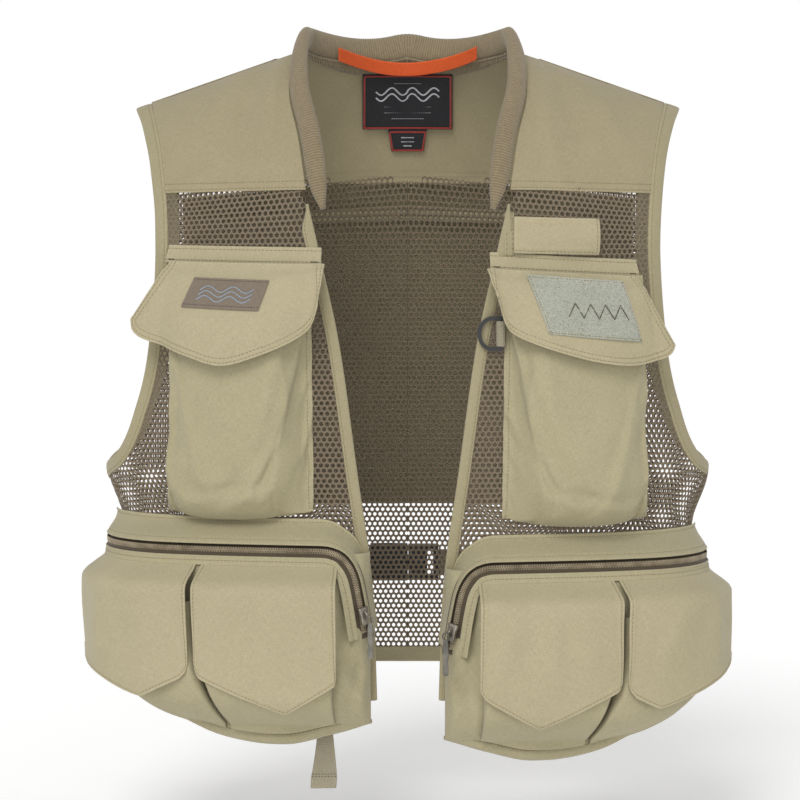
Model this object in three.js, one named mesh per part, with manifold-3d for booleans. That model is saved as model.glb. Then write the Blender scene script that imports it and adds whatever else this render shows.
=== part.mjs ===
// A fishing vest, shown as it hangs on a wearer. Millimetres, +Z up, the front faces -Y, +X is the
// wearer's left. The origin is the middle of the neck at shoulder height, where the vest is carried.
//
// Every cloth piece lies on one body form. A place on it is [phi, level]: phi is the angle round the
// body in degrees (0 front centre, 90 the wearer's left side, 180 back centre, negative on the
// wearer's right), and level is the height along the cloth, measured from the spring line where the
// shoulders begin to arch over (negative below it).
import * as THREE from "three";
import { mergeVertices } from "three/addons/utils/BufferGeometryUtils.js";
import Module from "manifold-3d";

const wasm = await Module();
wasm.setup();

// ---- driving dimensions ----
const CHEST_HALF_WIDTH = 237;
const UNDERARM_HALF_WIDTH = 243;
const WAIST_HALF_WIDTH = 228;
const CHEST_FRONT_DEPTH = 118;
const WAIST_FRONT_DEPTH = 112;
const CHEST_BACK_DEPTH = 114;
const WAIST_BACK_DEPTH = 105;
const ROUNDNESS = 2.35;

const SPRING_Z = -130;
const NECK_HALF_WIDTH = 85;
const NECK_POINT_Z = 28;
const SHOULDER_FALL = 0.35;
const RIDGE_Y = 10;
const ARCH_SCALE = 140;

const YOKE_HEM_Z = -81;
const UNDERARM_Z = -307;
const HEM_TOP_Z = -470;
const HEM_TAPE = 12;

const CLOTH = 1.2;
const SEAM_GAP = 0.5;
const LAYER_GAP = 0.4;
const POCKET_GAP = 2;
const BINDING = { armhole: 11, front: 9, thickness: 2.4 };

const COLLAR = { width: 20, thickness: 10, tipZ: -100 };

const CHEST = {
  innerX: 77,
  outerX: 178,
  topZ: -143,
  bottomZ: -334,
  mouthDepth: 17,
  depth: 34,
  flapInnerX: 66,
  flapOuterX: 186,
  flapTopZ: -136,
  flapLength: 80,
  drop: 6,
};
const CARGO = {
  innerX: 29,
  outerPhi: 84,
  bandTopZ: -338,
  zipZ: -361,
  zipOffset: 25,
  depth: 41,
  sideDepth: 11,
  bottomZ: -500,
  smallPouchDepth: 14,
  flapTopZ: -369,
  flapSplitX: 162,
  flapInnerX: 50,
  flapLength: 110,
  flapSeamLift: 5,
  drop: 13,
};
const ZIP = { width: 9, thickness: 2.2, slider: [9, 4, 14], pull: [4.5, 1.6, 34] };
const STRIP = { thickness: 1.2, height: 14 };
const BELT = { z: -399, webbing: 20, webbingThickness: 1.6, buckleLength: 60, buckleHeight: 31 };
const BACK_POCKET = { halfWidth: 188, top: -84, bottom: -349, depth: 24 };
const D_RING = { bar: 27, reach: 18, thick: 3, hole: 4.6 };

const RIGHT = -1;
const LEFT = 1;

// ---- small tools ----
const clamp01 = (t) => Math.min(1, Math.max(0, t));
const mix = (a, b, t) => a + (b - a) * t;
const radians = THREE.MathUtils.degToRad;

// A smooth curve through [at, value...] stations, whose first number rises or falls steadily.
function through(stations) {
  const rising = stations[0][0] < stations.at(-1)[0];
  const s = rising ? stations : [...stations].reverse();
  const slope = (i, k) => {
    const a = s[Math.max(i - 1, 0)];
    const b = s[Math.min(i + 1, s.length - 1)];
    return (b[k] - a[k]) / (b[0] - a[0]);
  };
  return (at) => {
    const x = Math.min(Math.max(at, s[0][0]), s.at(-1)[0]);
    let i = 0;
    while (i < s.length - 2 && x > s[i + 1][0]) i++;
    const span = s[i + 1][0] - s[i][0];
    const t = (x - s[i][0]) / span;
    const t2 = t * t;
    const t3 = t2 * t;
    return s[i].slice(1).map((value, j) => {
      const k = j + 1;
      return (
        (2 * t3 - 3 * t2 + 1) * value +
        (t3 - 2 * t2 + t) * span * slope(i, k) +
        (3 * t2 - 2 * t3) * s[i + 1][k] +
        (t3 - t2) * span * slope(i + 1, k)
      );
    });
  };
}

// ---- the body form ----
const girth = through([
  [-600, WAIST_HALF_WIDTH - 4, WAIST_FRONT_DEPTH - 2, WAIST_BACK_DEPTH],
  [-480, WAIST_HALF_WIDTH - 2, WAIST_FRONT_DEPTH - 2, WAIST_BACK_DEPTH],
  [-352, WAIST_HALF_WIDTH + 3, WAIST_FRONT_DEPTH, WAIST_BACK_DEPTH + 1],
  [UNDERARM_Z, UNDERARM_HALF_WIDTH, WAIST_FRONT_DEPTH + 2, WAIST_BACK_DEPTH + 5],
  [-200, CHEST_HALF_WIDTH + 1, CHEST_FRONT_DEPTH - 1, CHEST_BACK_DEPTH + 2],
  [SPRING_Z, CHEST_HALF_WIDTH - 1, CHEST_FRONT_DEPTH, CHEST_BACK_DEPTH],
]);
const ridgeZ = (x) => NECK_POINT_Z + SHOULDER_FALL * (NECK_HALF_WIDTH - Math.abs(x));
const ridgeY = (x) => RIDGE_Y * (1 - 0.6 * clamp01(Math.abs(x) / CHEST_HALF_WIDTH));
const RIDGE_LEVEL = (ARCH_SCALE * Math.PI) / 2;

function onForm(phi, level) {
  const angle = radians(Math.abs(phi));
  const [halfWidth, front, back] = girth(SPRING_Z + Math.min(level, 0));
  const s = Math.sin(angle);
  const c = Math.cos(angle);
  const r = (s ** ROUNDNESS + Math.abs(c) ** ROUNDNESS) ** (-1 / ROUNDNESS);
  const x = halfWidth * r * s;
  let y = -(c > 0 ? front : back) * r * c;
  let z = SPRING_Z + level;
  if (level > 0) {
    const arch = Math.min(level / ARCH_SCALE, Math.PI / 2);
    y = mix(ridgeY(x), y, Math.cos(arch));
    z = SPRING_Z + (ridgeZ(x) - SPRING_Z) * Math.sin(arch);
  }
  return new THREE.Vector3(x, y, z);
}

function formNormal(phi, level) {
  const step = 0.5;
  const angle = Math.min(Math.max(Math.abs(phi), step), 180 - step);
  const low = Math.min(level, RIDGE_LEVEL - step);
  const round = onForm(angle + step, low).sub(onForm(angle - step, low));
  const up = onForm(angle, low + step).sub(onForm(angle, low - step));
  return round.cross(up).normalize();
}

// The point at an offset outward from the form, on the side that the sign of phi names.
function place(phi, level, offset = 0) {
  const p = onForm(phi, level).addScaledVector(formNormal(phi, level), offset);
  if (phi < 0) p.x = -p.x;
  return p;
}

// The angle of the point of the front whose x is |x|: at a level, or at a height and an offset.
function phiAtLevel(x, level, offset = 0) {
  let low = 0;
  let high = 90;
  for (let i = 0; i < 30; i++) {
    const mid = (low + high) / 2;
    if (place(mid, level, offset).x < Math.abs(x)) low = mid;
    else high = mid;
  }
  return low;
}

const phiAt = (x, z, offset = 0) => phiAtLevel(x, levelAt(z, x), offset);

function levelAt(z, x = 0) {
  if (z <= SPRING_Z) return z - SPRING_Z;
  const rise = (z - SPRING_Z) / (ridgeZ(x) - SPRING_Z);
  return ARCH_SCALE * Math.asin(Math.min(rise, 1));
}

// ---- closed solids from grids ----
function closedGrid(inner, outer) {
  const nu = inner.length;
  const nv = inner[0].length;
  const points = [...inner.flat(), ...outer.flat()];
  const at = (layer, i, j) => layer * nu * nv + i * nv + j;
  const index = [];
  const quad = (a, b, c, d) => index.push(a, b, c, a, c, d);
  for (let i = 0; i < nu - 1; i++) {
    for (let j = 0; j < nv - 1; j++) {
      quad(at(0, i, j), at(0, i, j + 1), at(0, i + 1, j + 1), at(0, i + 1, j));
      quad(at(1, i, j), at(1, i + 1, j), at(1, i + 1, j + 1), at(1, i, j + 1));
    }
  }
  for (let i = 0; i < nu - 1; i++) {
    quad(at(0, i, 0), at(0, i + 1, 0), at(1, i + 1, 0), at(1, i, 0));
    quad(at(0, i, nv - 1), at(1, i, nv - 1), at(1, i + 1, nv - 1), at(0, i + 1, nv - 1));
  }
  for (let j = 0; j < nv - 1; j++) {
    quad(at(0, 0, j), at(1, 0, j), at(1, 0, j + 1), at(0, 0, j + 1));
    quad(at(0, nu - 1, j), at(0, nu - 1, j + 1), at(1, nu - 1, j + 1), at(1, nu - 1, j));
  }
  return facingOut(points, index);
}

function facingOut(points, index) {
  let volume = 0;
  for (let i = 0; i < index.length; i += 3) {
    const [a, b, c] = [points[index[i]], points[index[i + 1]], points[index[i + 2]]];
    volume += a.dot(b.clone().cross(c));
  }
  if (volume < 0) index.reverse();
  const geometry = new THREE.BufferGeometry().setFromPoints(points);
  geometry.setIndex(index);
  return geometry;
}

const valueOf = (f, u, v) => (typeof f === "function" ? f(u, v) : f);
const grid = (nu, nv, f) =>
  Array.from({ length: nu + 1 }, (_, i) =>
    Array.from({ length: nv + 1 }, (_, j) => f(i / nu, j / nv)),
  );

// A closed piece over map(u, v) = [phi, level], between two offsets from the form.
function patch(map, low, high, nu, nv) {
  const layer = (offset) =>
    grid(nu, nv, (u, v) => {
      const [phi, level] = map(u, v);
      return place(phi, level, valueOf(offset, u, v));
    });
  return closedGrid(layer(low), layer(high));
}

const between = (a, b) => (u, v) => {
  const [phiA, levelA] = a(v);
  const [phiB, levelB] = b(v);
  return [mix(phiA, phiB, u), mix(levelA, levelB, u)];
};

// A point moved sideways by a distance in millimetres from a curve t -> [phi, level] on the form.
function beside(curve, t, distance) {
  const step = 0.004;
  const [phi, level] = curve(t);
  const before = curve(Math.max(t - step, 0));
  const after = curve(Math.min(t + step, 1));
  const perDegree = onForm(phi + 0.5, level).distanceTo(onForm(phi - 0.5, level));
  const perLevel = onForm(phi, level).distanceTo(onForm(phi, level - 1));
  const along = [(after[0] - before[0]) * perDegree, (after[1] - before[1]) * perLevel];
  const length = Math.hypot(...along);
  return [
    phi + (distance * along[1]) / length / perDegree,
    level - (distance * along[0]) / length / perLevel,
  ];
}

const mirrored = (side, map) => (u, v) => {
  const [phi, level] = map(u, v);
  return [side * phi, level];
};

function solidOf(geometry) {
  const bare = geometry.index ? geometry.toNonIndexed() : geometry.clone();
  bare.deleteAttribute("normal");
  bare.deleteAttribute("uv");
  const merged = mergeVertices(bare, 1e-4);
  return new wasm.Manifold(
    new wasm.Mesh({
      numProp: 3,
      vertProperties: merged.attributes.position.array,
      triVerts: new Uint32Array(merged.index.array),
    }),
  );
}

function geometryOf(solid) {
  const mesh = solid.getMesh();
  const geometry = new THREE.BufferGeometry();
  const positions = new Float32Array(mesh.vertProperties);
  geometry.setAttribute("position", new THREE.BufferAttribute(positions, 3));
  geometry.setIndex(new THREE.BufferAttribute(new Uint32Array(mesh.triVerts), 1));
  return geometry;
}

const cut = (outer, ...tools) =>
  geometryOf(tools.reduce((solid, tool) => solid.subtract(solidOf(tool)), solidOf(outer)));
const joined = (first, ...others) =>
  geometryOf(others.reduce((solid, other) => solid.add(solidOf(other)), solidOf(first)));

const box = (x, y, z, at = [0, 0, 0]) => new THREE.BoxGeometry(x, y, z).translate(...at);

// ---- materials and nodes ----
const vest = new THREE.Group();
const cloth = (color, roughness = 0.9) =>
  new THREE.MeshStandardMaterial({ color, roughness, metalness: 0 });
const TAN = 0xb0a684;
const FLAP_TAN = 0xb5a98a;
const KNIT = 0xa8987a;
const NET = 0x5b5140;
const ZIP_BROWN = 0x5a4a38;
const ORANGE = 0xd9542c;
const LABEL_BLACK = 0x1b1c1f;
const LABEL_BROWN = 0x4a3a2e;
const FLEECE = 0xa9ab9c;
const PLASTIC = 0x17181a;
const STRAP = 0x8f8672;
const METAL = 0x9c9890;

function add(name, geometry, material, parent = vest) {
  const mesh = new THREE.Mesh(geometry, material);
  mesh.name = name;
  parent.add(mesh);
  return mesh;
}

const sideName = (side) => (side === RIGHT ? "right" : "left");

// ---- edges shared by the panels ----
const armholeFront = through([
  [0, 63.6, RIDGE_LEVEL],
  [0.09, 62.3, 185],
  [0.3, 56, 93],
  [0.48, 53.5, 20],
  [0.66, 54.5, -55],
  [0.82, 58.5, -120],
  [0.93, 68, UNDERARM_Z - SPRING_Z + 15],
  [1, 90, UNDERARM_Z - SPRING_Z],
]);

// A point of the whole armhole, inset from its edge: up the front from the underarm (0), over the
// shoulder and down the back (1).
function armhole(t, inset) {
  const front = t < 0.5;
  const [phi, level] = beside(armholeFront, Math.abs(1 - 2 * t), inset);
  return [front ? phi : 180 - phi, level];
}

// Where the yoke's lower edge meets the armhole, as a share of the armhole's front half, and the
// share of the armhole between two rows of the panels' grids.
const ARMHOLE_HEM = 0.4;
const ARMHOLE_STEP = 0.05;
const armholeInset = BINDING.armhole + SEAM_GAP;
const armholeSide = (t) => beside(armholeFront, t, armholeInset);

const frontEdgeX = through([
  [-60, 84],
  [-122, 71],
  [-200, 54],
  [-300, 40],
  [-390, 28],
  [-490, 24],
]);

const frontEdge = (inset) => (z) => {
  const x = frontEdgeX(z)[0] + inset;
  return [phiAt(x, z), levelAt(z, x)];
};

// The neck seam in front of the shoulder, as an offset from the neck's half width and a level.
const neckFrontAt = through([
  [0, -10.9, levelAt(COLLAR.tipZ, 75)],
  [0.2, -6.8, levelAt(YOKE_HEM_Z, 78)],
  [0.4, -0.7, 84],
  [0.6, 6.7, 124],
  [0.8, 5.9, 168],
  [1, 0.2, RIDGE_LEVEL],
]);
const neckFront = (t) => {
  const [offset, level] = neckFrontAt(t);
  return [phiAtLevel(NECK_HALF_WIDTH + offset, level), level];
};
const NECK_BACK_ARCH = 54;

// The neck seam behind the shoulder: from the shoulder's ridge (0) to back centre (1).
function neckBack(t) {
  const turn = (t * Math.PI) / 2;
  const arch = radians(NECK_BACK_ARCH) + radians(90 - NECK_BACK_ARCH) * (1 - Math.sin(turn));
  const x = NECK_HALF_WIDTH * Math.cos(turn);
  return [180 - phiAt(x, SPRING_Z), arch * ARCH_SCALE];
}

// The whole neck seam on one side: the collar's tip (0), the shoulder (1) and back centre (2).
const neckSeam = (t) => (t < 1 ? neckFront(t) : neckBack(t - 1));

// The yoke's lower edge at the front: the level at an angle.
const hemStart = [neckFront(0.2)[0] + 0.4, neckFront(0.2)[1]];
const hemEnd = armholeSide(ARMHOLE_HEM);
const hemLevel = (phi) => mix(hemStart[1], hemEnd[1], (phi - hemStart[0]) / (hemEnd[0] - hemStart[0]));

// ---- yokes, mesh body, tapes ----
const half = CLOTH / 2;

function frontYoke(side) {
  const inner = (v) => {
    const [phi, level] = neckFront(mix(0.2, 1, v));
    return [phi + 0.4, level];
  };
  const outer = (v) => armholeSide(mix(ARMHOLE_HEM, 0, v));
  const map = (u, v) => {
    const [phi, level] = between(inner, outer)(u, v);
    return [side * phi, v === 1 ? RIDGE_LEVEL - SEAM_GAP : level];
  };
  const rows = ARMHOLE_HEM / ARMHOLE_STEP;
  add(`front_yoke_${sideName(side)}`, patch(map, -half, half, 7, rows), cloth(TAN));
}

// The back yoke's columns run from back centre (0) through the neck point to the armhole (1).
function backYoke() {
  const columns = [0, 0.16, 0.32, 0.46, 0.62, 0.8, 1];
  const neckColumn = 0.46;
  const seamPhi = 0.4;
  const outer = (v) => {
    const [phi, level] = armholeSide(mix(ARMHOLE_HEM, 0, v));
    return [180 - phi, level];
  };
  const topOf = (column) => {
    if (column > neckColumn) {
      const share = (column - neckColumn) / (1 - neckColumn);
      return [mix(neckBack(0)[0] - seamPhi, outer(1)[0], share), RIDGE_LEVEL - SEAM_GAP];
    }
    const [phi, level] = neckBack(1 - column / neckColumn);
    return [column === 0 ? phi : phi - seamPhi, level - 2 * SEAM_GAP];
  };
  const map = (u, v) => {
    const s = 2 * u - 1;
    const column = columns[Math.round(Math.abs(s) * (columns.length - 1))];
    const [phiTop, levelTop] = topOf(column);
    const bend = outer(v).map((value, k) => value - mix(outer(0)[k], outer(1)[k], v));
    const phi = mix(mix(180, outer(0)[0], column), phiTop, v) + column * bend[0];
    const foot = mix(levelAt(YOKE_HEM_Z), outer(0)[1], column);
    return [(s < 0 ? -1 : 1) * phi, mix(foot, levelTop, v) + column * bend[1]];
  };
  const rows = ARMHOLE_HEM / ARMHOLE_STEP;
  add("back_yoke", patch(map, -half, half, 12, rows), cloth(TAN));
}

// The outer edge of the net below the yoke: down the armhole, then down the side seam.
const ARMHOLE_ROWS = Math.round((1 - ARMHOLE_HEM) / ARMHOLE_STEP);
const SEAM_ROWS = 4;
const NET_ROWS = ARMHOLE_ROWS + SEAM_ROWS;
const SIDE_SEAM_PHI = 89.8;

function sideEdge(v) {
  const corner = ARMHOLE_ROWS / NET_ROWS;
  if (v < corner) {
    const [phi, level] = armholeSide(mix(ARMHOLE_HEM, 1, v / corner));
    return [Math.min(phi, SIDE_SEAM_PHI), level - (v === 0 ? SEAM_GAP : 0)];
  }
  const top = armholeSide(1)[1];
  const hem = HEM_TOP_Z - SPRING_Z + SEAM_GAP;
  return [SIDE_SEAM_PHI, mix(top, hem, (v - corner) / (1 - corner))];
}

function frontNet(side) {
  const inner = (v) => {
    const [phi, level] = frontEdge(BINDING.front + SEAM_GAP)(mix(YOKE_HEM_Z, HEM_TOP_Z, v));
    if (v === 0) return [phi, hemLevel(phi) - SEAM_GAP];
    return [phi, v === 1 ? level + SEAM_GAP : level];
  };
  const map = mirrored(side, between(inner, sideEdge));
  add(`front_net_${sideName(side)}`, patch(map, -half, half, 7, NET_ROWS), cloth(NET));
}

function backNet() {
  const map = (u, v) => {
    const s = 2 * u - 1;
    const [phi, level] = sideEdge(v);
    const middle = mix(levelAt(YOKE_HEM_Z), HEM_TOP_Z - SPRING_Z, v);
    const seam = v === 0 ? -SEAM_GAP : v === 1 ? SEAM_GAP : 0;
    const across = Math.abs(s);
    return [(s < 0 ? -1 : 1) * mix(180, 180 - phi, across), mix(middle + seam, level, across)];
  };
  add("back_net", patch(map, -half, half, 14, NET_ROWS), cloth(NET));
}

function hemTape() {
  const [innerPhi] = frontEdge(BINDING.front + SEAM_GAP)(HEM_TOP_Z);
  const map = (u, v) => {
    const s = 2 * u - 1;
    const phi = mix(180, innerPhi, Math.abs(s));
    return [(s < 0 ? -1 : 1) * phi, HEM_TOP_Z - SPRING_Z - v * HEM_TAPE];
  };
  add("hem_tape", patch(map, -1, 1, 40, 1), cloth(TAN));
}

function armholeBinding(side) {
  const thick = BINDING.thickness / 2;
  const slit = 0.002;
  const steps = 2 / ARMHOLE_STEP;
  const along = (u) => Math.min(Math.max(u, slit), 1 - slit);
  const map = mirrored(side, (u, v) => armhole(along(u), v * BINDING.armhole));
  add(`armhole_binding_${sideName(side)}`, patch(map, -thick, thick, steps, 1), cloth(TAN));
}

function frontBinding(side) {
  const thick = BINDING.thickness / 2;
  const top = COLLAR.tipZ - SEAM_GAP;
  const bottom = HEM_TOP_Z - HEM_TAPE;
  const inner = (v) => frontEdge(0)(mix(top, bottom, v));
  const outer = (v) => frontEdge(BINDING.front)(mix(top, bottom, v));
  const map = mirrored(side, between(inner, outer));
  add(`front_binding_${sideName(side)}`, patch(map, -thick, thick, 1, 14), cloth(TAN));
}

// ---- collar ----
function ribCollar() {
  const steps = 34;
  const sides = 10;
  const rings = [];
  for (let i = 0; i <= steps; i++) {
    const s = (2 * i) / steps - 1;
    const t = 2 * (1 - Math.abs(s));
    const side = s < 0 ? -1 : 1;
    const [phi, level] = neckSeam(t);
    const seam = place(side * phi, level);
    const normal = place(side * phi, level, 1).sub(seam);
    const near = (d) => {
      const q = neckSeam(Math.min(Math.max(t + d, 0), 2));
      return place(side * q[0], q[1]);
    };
    const along = near(0.02).sub(near(-0.02)).normalize().multiplyScalar(-side);
    const inward = normal.clone().cross(along).normalize();
    const towardNeck = new THREE.Vector3(-seam.x, -seam.y * (t > 1.4 ? 1 : 0), 0);
    if (inward.dot(towardNeck) < 0) inward.negate();
    const stand = radians(mix(0, 62, clamp01(t / 1.1)));
    const across = inward.clone().multiplyScalar(Math.cos(stand));
    across.addScaledVector(normal, Math.sin(stand)).normalize();
    const thick = along.clone().cross(across).normalize();
    const width = COLLAR.width * mix(0.75, 1.15, clamp01(t / 2));
    const centre = seam.clone().addScaledVector(across, width / 2 + 1);
    rings.push({ centre, across, thick, width });
  }
  const ring = ({ centre, across, thick, width }, k) => {
    const a = (2 * Math.PI * k) / sides;
    return centre
      .clone()
      .addScaledVector(across, (width / 2) * Math.cos(a))
      .addScaledVector(thick, (COLLAR.thickness / 2) * Math.sin(a));
  };
  add("rib_collar", tube(rings, ring, sides), cloth(KNIT, 0.95));
}

// A closed tube through rings of points; each end closes on its own centre.
function tube(rings, ring, sides) {
  const points = rings.flatMap((frame) => Array.from({ length: sides }, (_, k) => ring(frame, k)));
  const index = [];
  for (let i = 0; i < rings.length - 1; i++) {
    for (let k = 0; k < sides; k++) {
      const a = i * sides + k;
      const b = i * sides + ((k + 1) % sides);
      index.push(a, b, b + sides, a, b + sides, a + sides);
    }
  }
  const last = (rings.length - 1) * sides;
  for (let k = 1; k < sides - 1; k++) {
    index.push(0, k + 1, k);
    index.push(last, last + k, last + k + 1);
  }
  return facingOut(points, index);
}

// ---- pieces inside the neck ----
const BACK_INSIDE = -half - POCKET_GAP;

function neckPieces() {
  const labelWidth = 75;
  const labelHeight = 46;
  const labelTop = 12;
  const backAngle = (x, z) => 180 - phiAt(Math.abs(x), Math.min(z, SPRING_Z));
  const plate = (halfTop, halfBottom, topZ, bottomZ) => (u, v) => {
    const x = mix(halfTop, halfBottom, v) * (2 * u - 1);
    const sign = x < 0 ? -1 : 1;
    return [sign * backAngle(x, topZ), levelAt(mix(topZ, bottomZ, v), x)];
  };
  const label = plate(labelWidth / 2, labelWidth / 2, labelTop, labelTop - labelHeight);
  const thick = 1;
  const back = BACK_INSIDE;
  add("neck_label", patch(label, back - thick, back, 6, 3), cloth(LABEL_BLACK));
  const sizeTop = labelTop - labelHeight - SEAM_GAP;
  const size = plate(16, 14, sizeTop, sizeTop - 18);
  add("size_label", patch(size, back - thick, back, 2, 1), cloth(LABEL_BLACK));
  hangLoop();
}

function hangLoop() {
  const reach = 56;
  const endZ = 27;
  const ribbonWidth = 10;
  const sag = 21;
  const inside = 3;
  const swing = 12;
  const seam = neckBack(1 - reach / NECK_HALF_WIDTH);
  const end = place(seam[0], seam[1] - 6);
  const middle = onForm(180, levelAt(endZ - sag));
  const centre = (s) => {
    const bow = 1 - s * s;
    const y = mix(end.y, middle.y - swing, bow) - inside;
    return new THREE.Vector3(s * reach, y, endZ - sag * bow);
  };
  const layer = (shift) =>
    grid(12, 1, (u, v) => {
      const across = new THREE.Vector3(0, shift + (v - 0.5) * 3, (0.5 - v) * ribbonWidth);
      return centre(2 * u - 1).add(across);
    });
  add("hang_loop", closedGrid(layer(-0.5), layer(0.5)), cloth(ORANGE, 0.7));
}

// ---- pockets ----
// A rounded pouch: deepest in the middle, with upright side walls, open along its top edge.
function pouch(map, depthAt, low, nu, nv) {
  const wall = CLOTH;
  const outer = patch(map, low, (u, v) => depthAt(...map(u, v)), nu, nv);
  const inset = 0.025;
  const innerMap = (u, v) => {
    const [phi, level] = map(mix(inset, 1 - inset, u), v * (1 - inset));
    return [phi, v === 0 ? level + 6 : level];
  };
  const inner = patch(
    innerMap,
    low + wall,
    (u, v) => Math.max(depthAt(...map(mix(inset, 1 - inset, u), v * (1 - inset))) - wall, low + 2 * wall),
    nu,
    nv,
  );
  return cut(outer, inner);
}

const chestDrop = (side) => (side === LEFT ? CHEST.drop : 0);

// Depth of the chest pouch in front of the net, which also sets where its flap hangs.
function chestDepth(side) {
  const top = CHEST.topZ - chestDrop(side);
  const bottom = CHEST.bottomZ - chestDrop(side);
  const phiInner = phiAt(CHEST.innerX, top);
  const phiOuter = phiAt(CHEST.outerX, top);
  return (phi, level) => {
    const across = clamp01((Math.abs(phi) - phiInner) / (phiOuter - phiInner));
    const down = clamp01((top - SPRING_Z - level) / (top - bottom));
    const middle = 1 - 0.3 * Math.abs(2 * across - 1) ** 3;
    const fall = down < 0.35 ? mix(CHEST.mouthDepth, CHEST.depth, Math.sin((down / 0.35) * 1.5708)) : CHEST.depth;
    return fall * middle * (1 - 0.55 * clamp01((down - 0.8) / 0.2) ** 2);
  };
}

function chestPocket(side) {
  const name = sideName(side);
  const top = CHEST.topZ - chestDrop(side);
  const bottom = CHEST.bottomZ - chestDrop(side);
  const depth = chestDepth(side);
  const low = half + POCKET_GAP;
  const map = mirrored(side, (u, v) => {
    const z = mix(top, bottom, v);
    const x = mix(CHEST.innerX, CHEST.outerX, u);
    return [phiAt(x, top), z - SPRING_Z];
  });
  add(`chest_pouch_${name}`, pouch(map, depth, low, 8, 7), cloth(TAN));
  chestFlap(side, depth);
}

const flapClearance = 2 * STRIP.thickness + 3 * LAYER_GAP;

// The flap's outline: its length down from the seam, from its inner edge (0) to its outer edge (1).
const chestFlapLength = through([
  [0, 0.5],
  [0.12, 0.7],
  [0.35, 0.88],
  [0.6, 1],
  [0.85, 0.82],
  [1, 0.58],
]);

function chestFlap(side, depth) {
  const name = sideName(side);
  const top = CHEST.flapTopZ - chestDrop(side);
  const phiInner = phiAt(CHEST.flapInnerX, top);
  const phiOuter = phiAt(CHEST.flapOuterX, top);
  const map = mirrored(side, (u, v) => {
    const length = CHEST.flapLength * chestFlapLength(u)[0];
    return [mix(phiInner, phiOuter, u), levelAt(top, 150) - v * length];
  });
  const lift = (extra) => (u, v) => {
    const [phi, level] = map(u, v);
    return depth(phi, level) + flapClearance + extra;
  };
  add(`chest_flap_${name}`, patch(map, lift(0), lift(CLOTH), 9, 5), cloth(FLAP_TAN));
  const strip = (from, to, high) => (u, v) => {
    const phi = mix(mix(phiInner, phiOuter, from), mix(phiInner, phiOuter, to), u);
    return [side * phi, top - SPRING_Z - high - v * STRIP.height];
  };
  const stripMap = strip(0.38, 0.74, CHEST.flapLength - 34);
  const stripLift = (base) => (u, v) => depth(...stripMap(u, v)) + base;
  const loopLow = LAYER_GAP;
  const hookLow = STRIP.thickness + 2 * LAYER_GAP;
  const loop = patch(stripMap, stripLift(loopLow), stripLift(loopLow + STRIP.thickness), 4, 1);
  const hook = patch(stripMap, stripLift(hookLow), stripLift(hookLow + STRIP.thickness), 4, 1);
  add(`chest_loop_strip_${name}`, loop, cloth(FLEECE));
  add(`chest_hook_strip_${name}`, hook, cloth(FLAP_TAN));
}

// A flat plate on a flap: a parallelogram with its back on the flap's foremost line.
function plateOnFlap(name, side, middleX, middleZ, size, material) {
  const depth = chestDepth(side);
  const phi = phiAt(middleX, middleZ);
  const level = middleZ - SPRING_Z;
  const lift = depth(phi, level) + flapClearance + CLOTH;
  const centre = place(side * phi, level, lift);
  const outward = place(side * phi, level, lift + 1).sub(centre);
  const up = place(side * phi, level + 4, depth(phi, level + 4)).sub(
    place(side * phi, level - 4, depth(phi, level - 4)),
  );
  const across = up.clone().cross(outward).normalize();
  const face = across.clone().cross(up).normalize();
  const slant = size.slant;
  const outline = new THREE.Shape([
    new THREE.Vector2(-size.width / 2 - slant, -size.height / 2),
    new THREE.Vector2(size.width / 2 - slant, -size.height / 2),
    new THREE.Vector2(size.width / 2 + slant, size.height / 2),
    new THREE.Vector2(-size.width / 2 + slant, size.height / 2),
  ]);
  const plate = new THREE.ExtrudeGeometry(outline, { depth: size.thick, bevelEnabled: false });
  if (face.dot(outward) < 0) face.negate();
  const right = up.clone().cross(face).normalize();
  const turn = new THREE.Matrix4().makeBasis(right, up.normalize(), face);
  const mesh = add(name, plate, material);
  mesh.applyMatrix4(turn);
  mesh.position.copy(centre).addScaledVector(face, size.gap);
  return mesh;
}

function chestTrim() {
  const label = { width: 62, height: 23, slant: -2, thick: 1, gap: 0.5 };
  plateOnFlap("chest_label", RIGHT, 138, -163, label, cloth(LABEL_BROWN, 0.7));
  const patchSize = { width: 66, height: 42, slant: 7, thick: 2.5, gap: 0.5 };
  plateOnFlap("fly_patch", LEFT, 128, -176, patchSize, cloth(FLEECE, 1));
  rodTab();
  dRing();
}

const ROD_TAB = { innerX: 82, reach: 66, topZ: -103, height: 28 };

function rodTab() {
  const { innerX, reach, topZ, height } = ROD_TAB;
  const strip = (from, to, inset) => (u, v) => {
    const x = innerX + mix(from, to, u);
    const z = mix(topZ - inset, topZ - height + inset, v);
    return [phiAt(x, z), levelAt(z, x)];
  };
  const base = half + LAYER_GAP;
  const under = patch(strip(3, reach - 6, 3), base, base + CLOTH, 5, 1);
  add("rod_tab_base", under, cloth(FLEECE));
  const over = base + CLOTH + LAYER_GAP;
  const end = (u, v) => {
    const round = Math.sqrt(Math.max(0, 1 - (2 * v - 1) ** 2)) - 1;
    const x = innerX + u * (reach + (round * height) / 4);
    const z = mix(topZ, topZ - height, v);
    return [phiAt(x, z), levelAt(z, x)];
  };
  add("rod_tab", patch(end, over, over + CLOTH, 6, 6), cloth(TAN));
}

const D_RING_AT = { x: 71.5, z: -193, offset: 5.5 };

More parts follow.
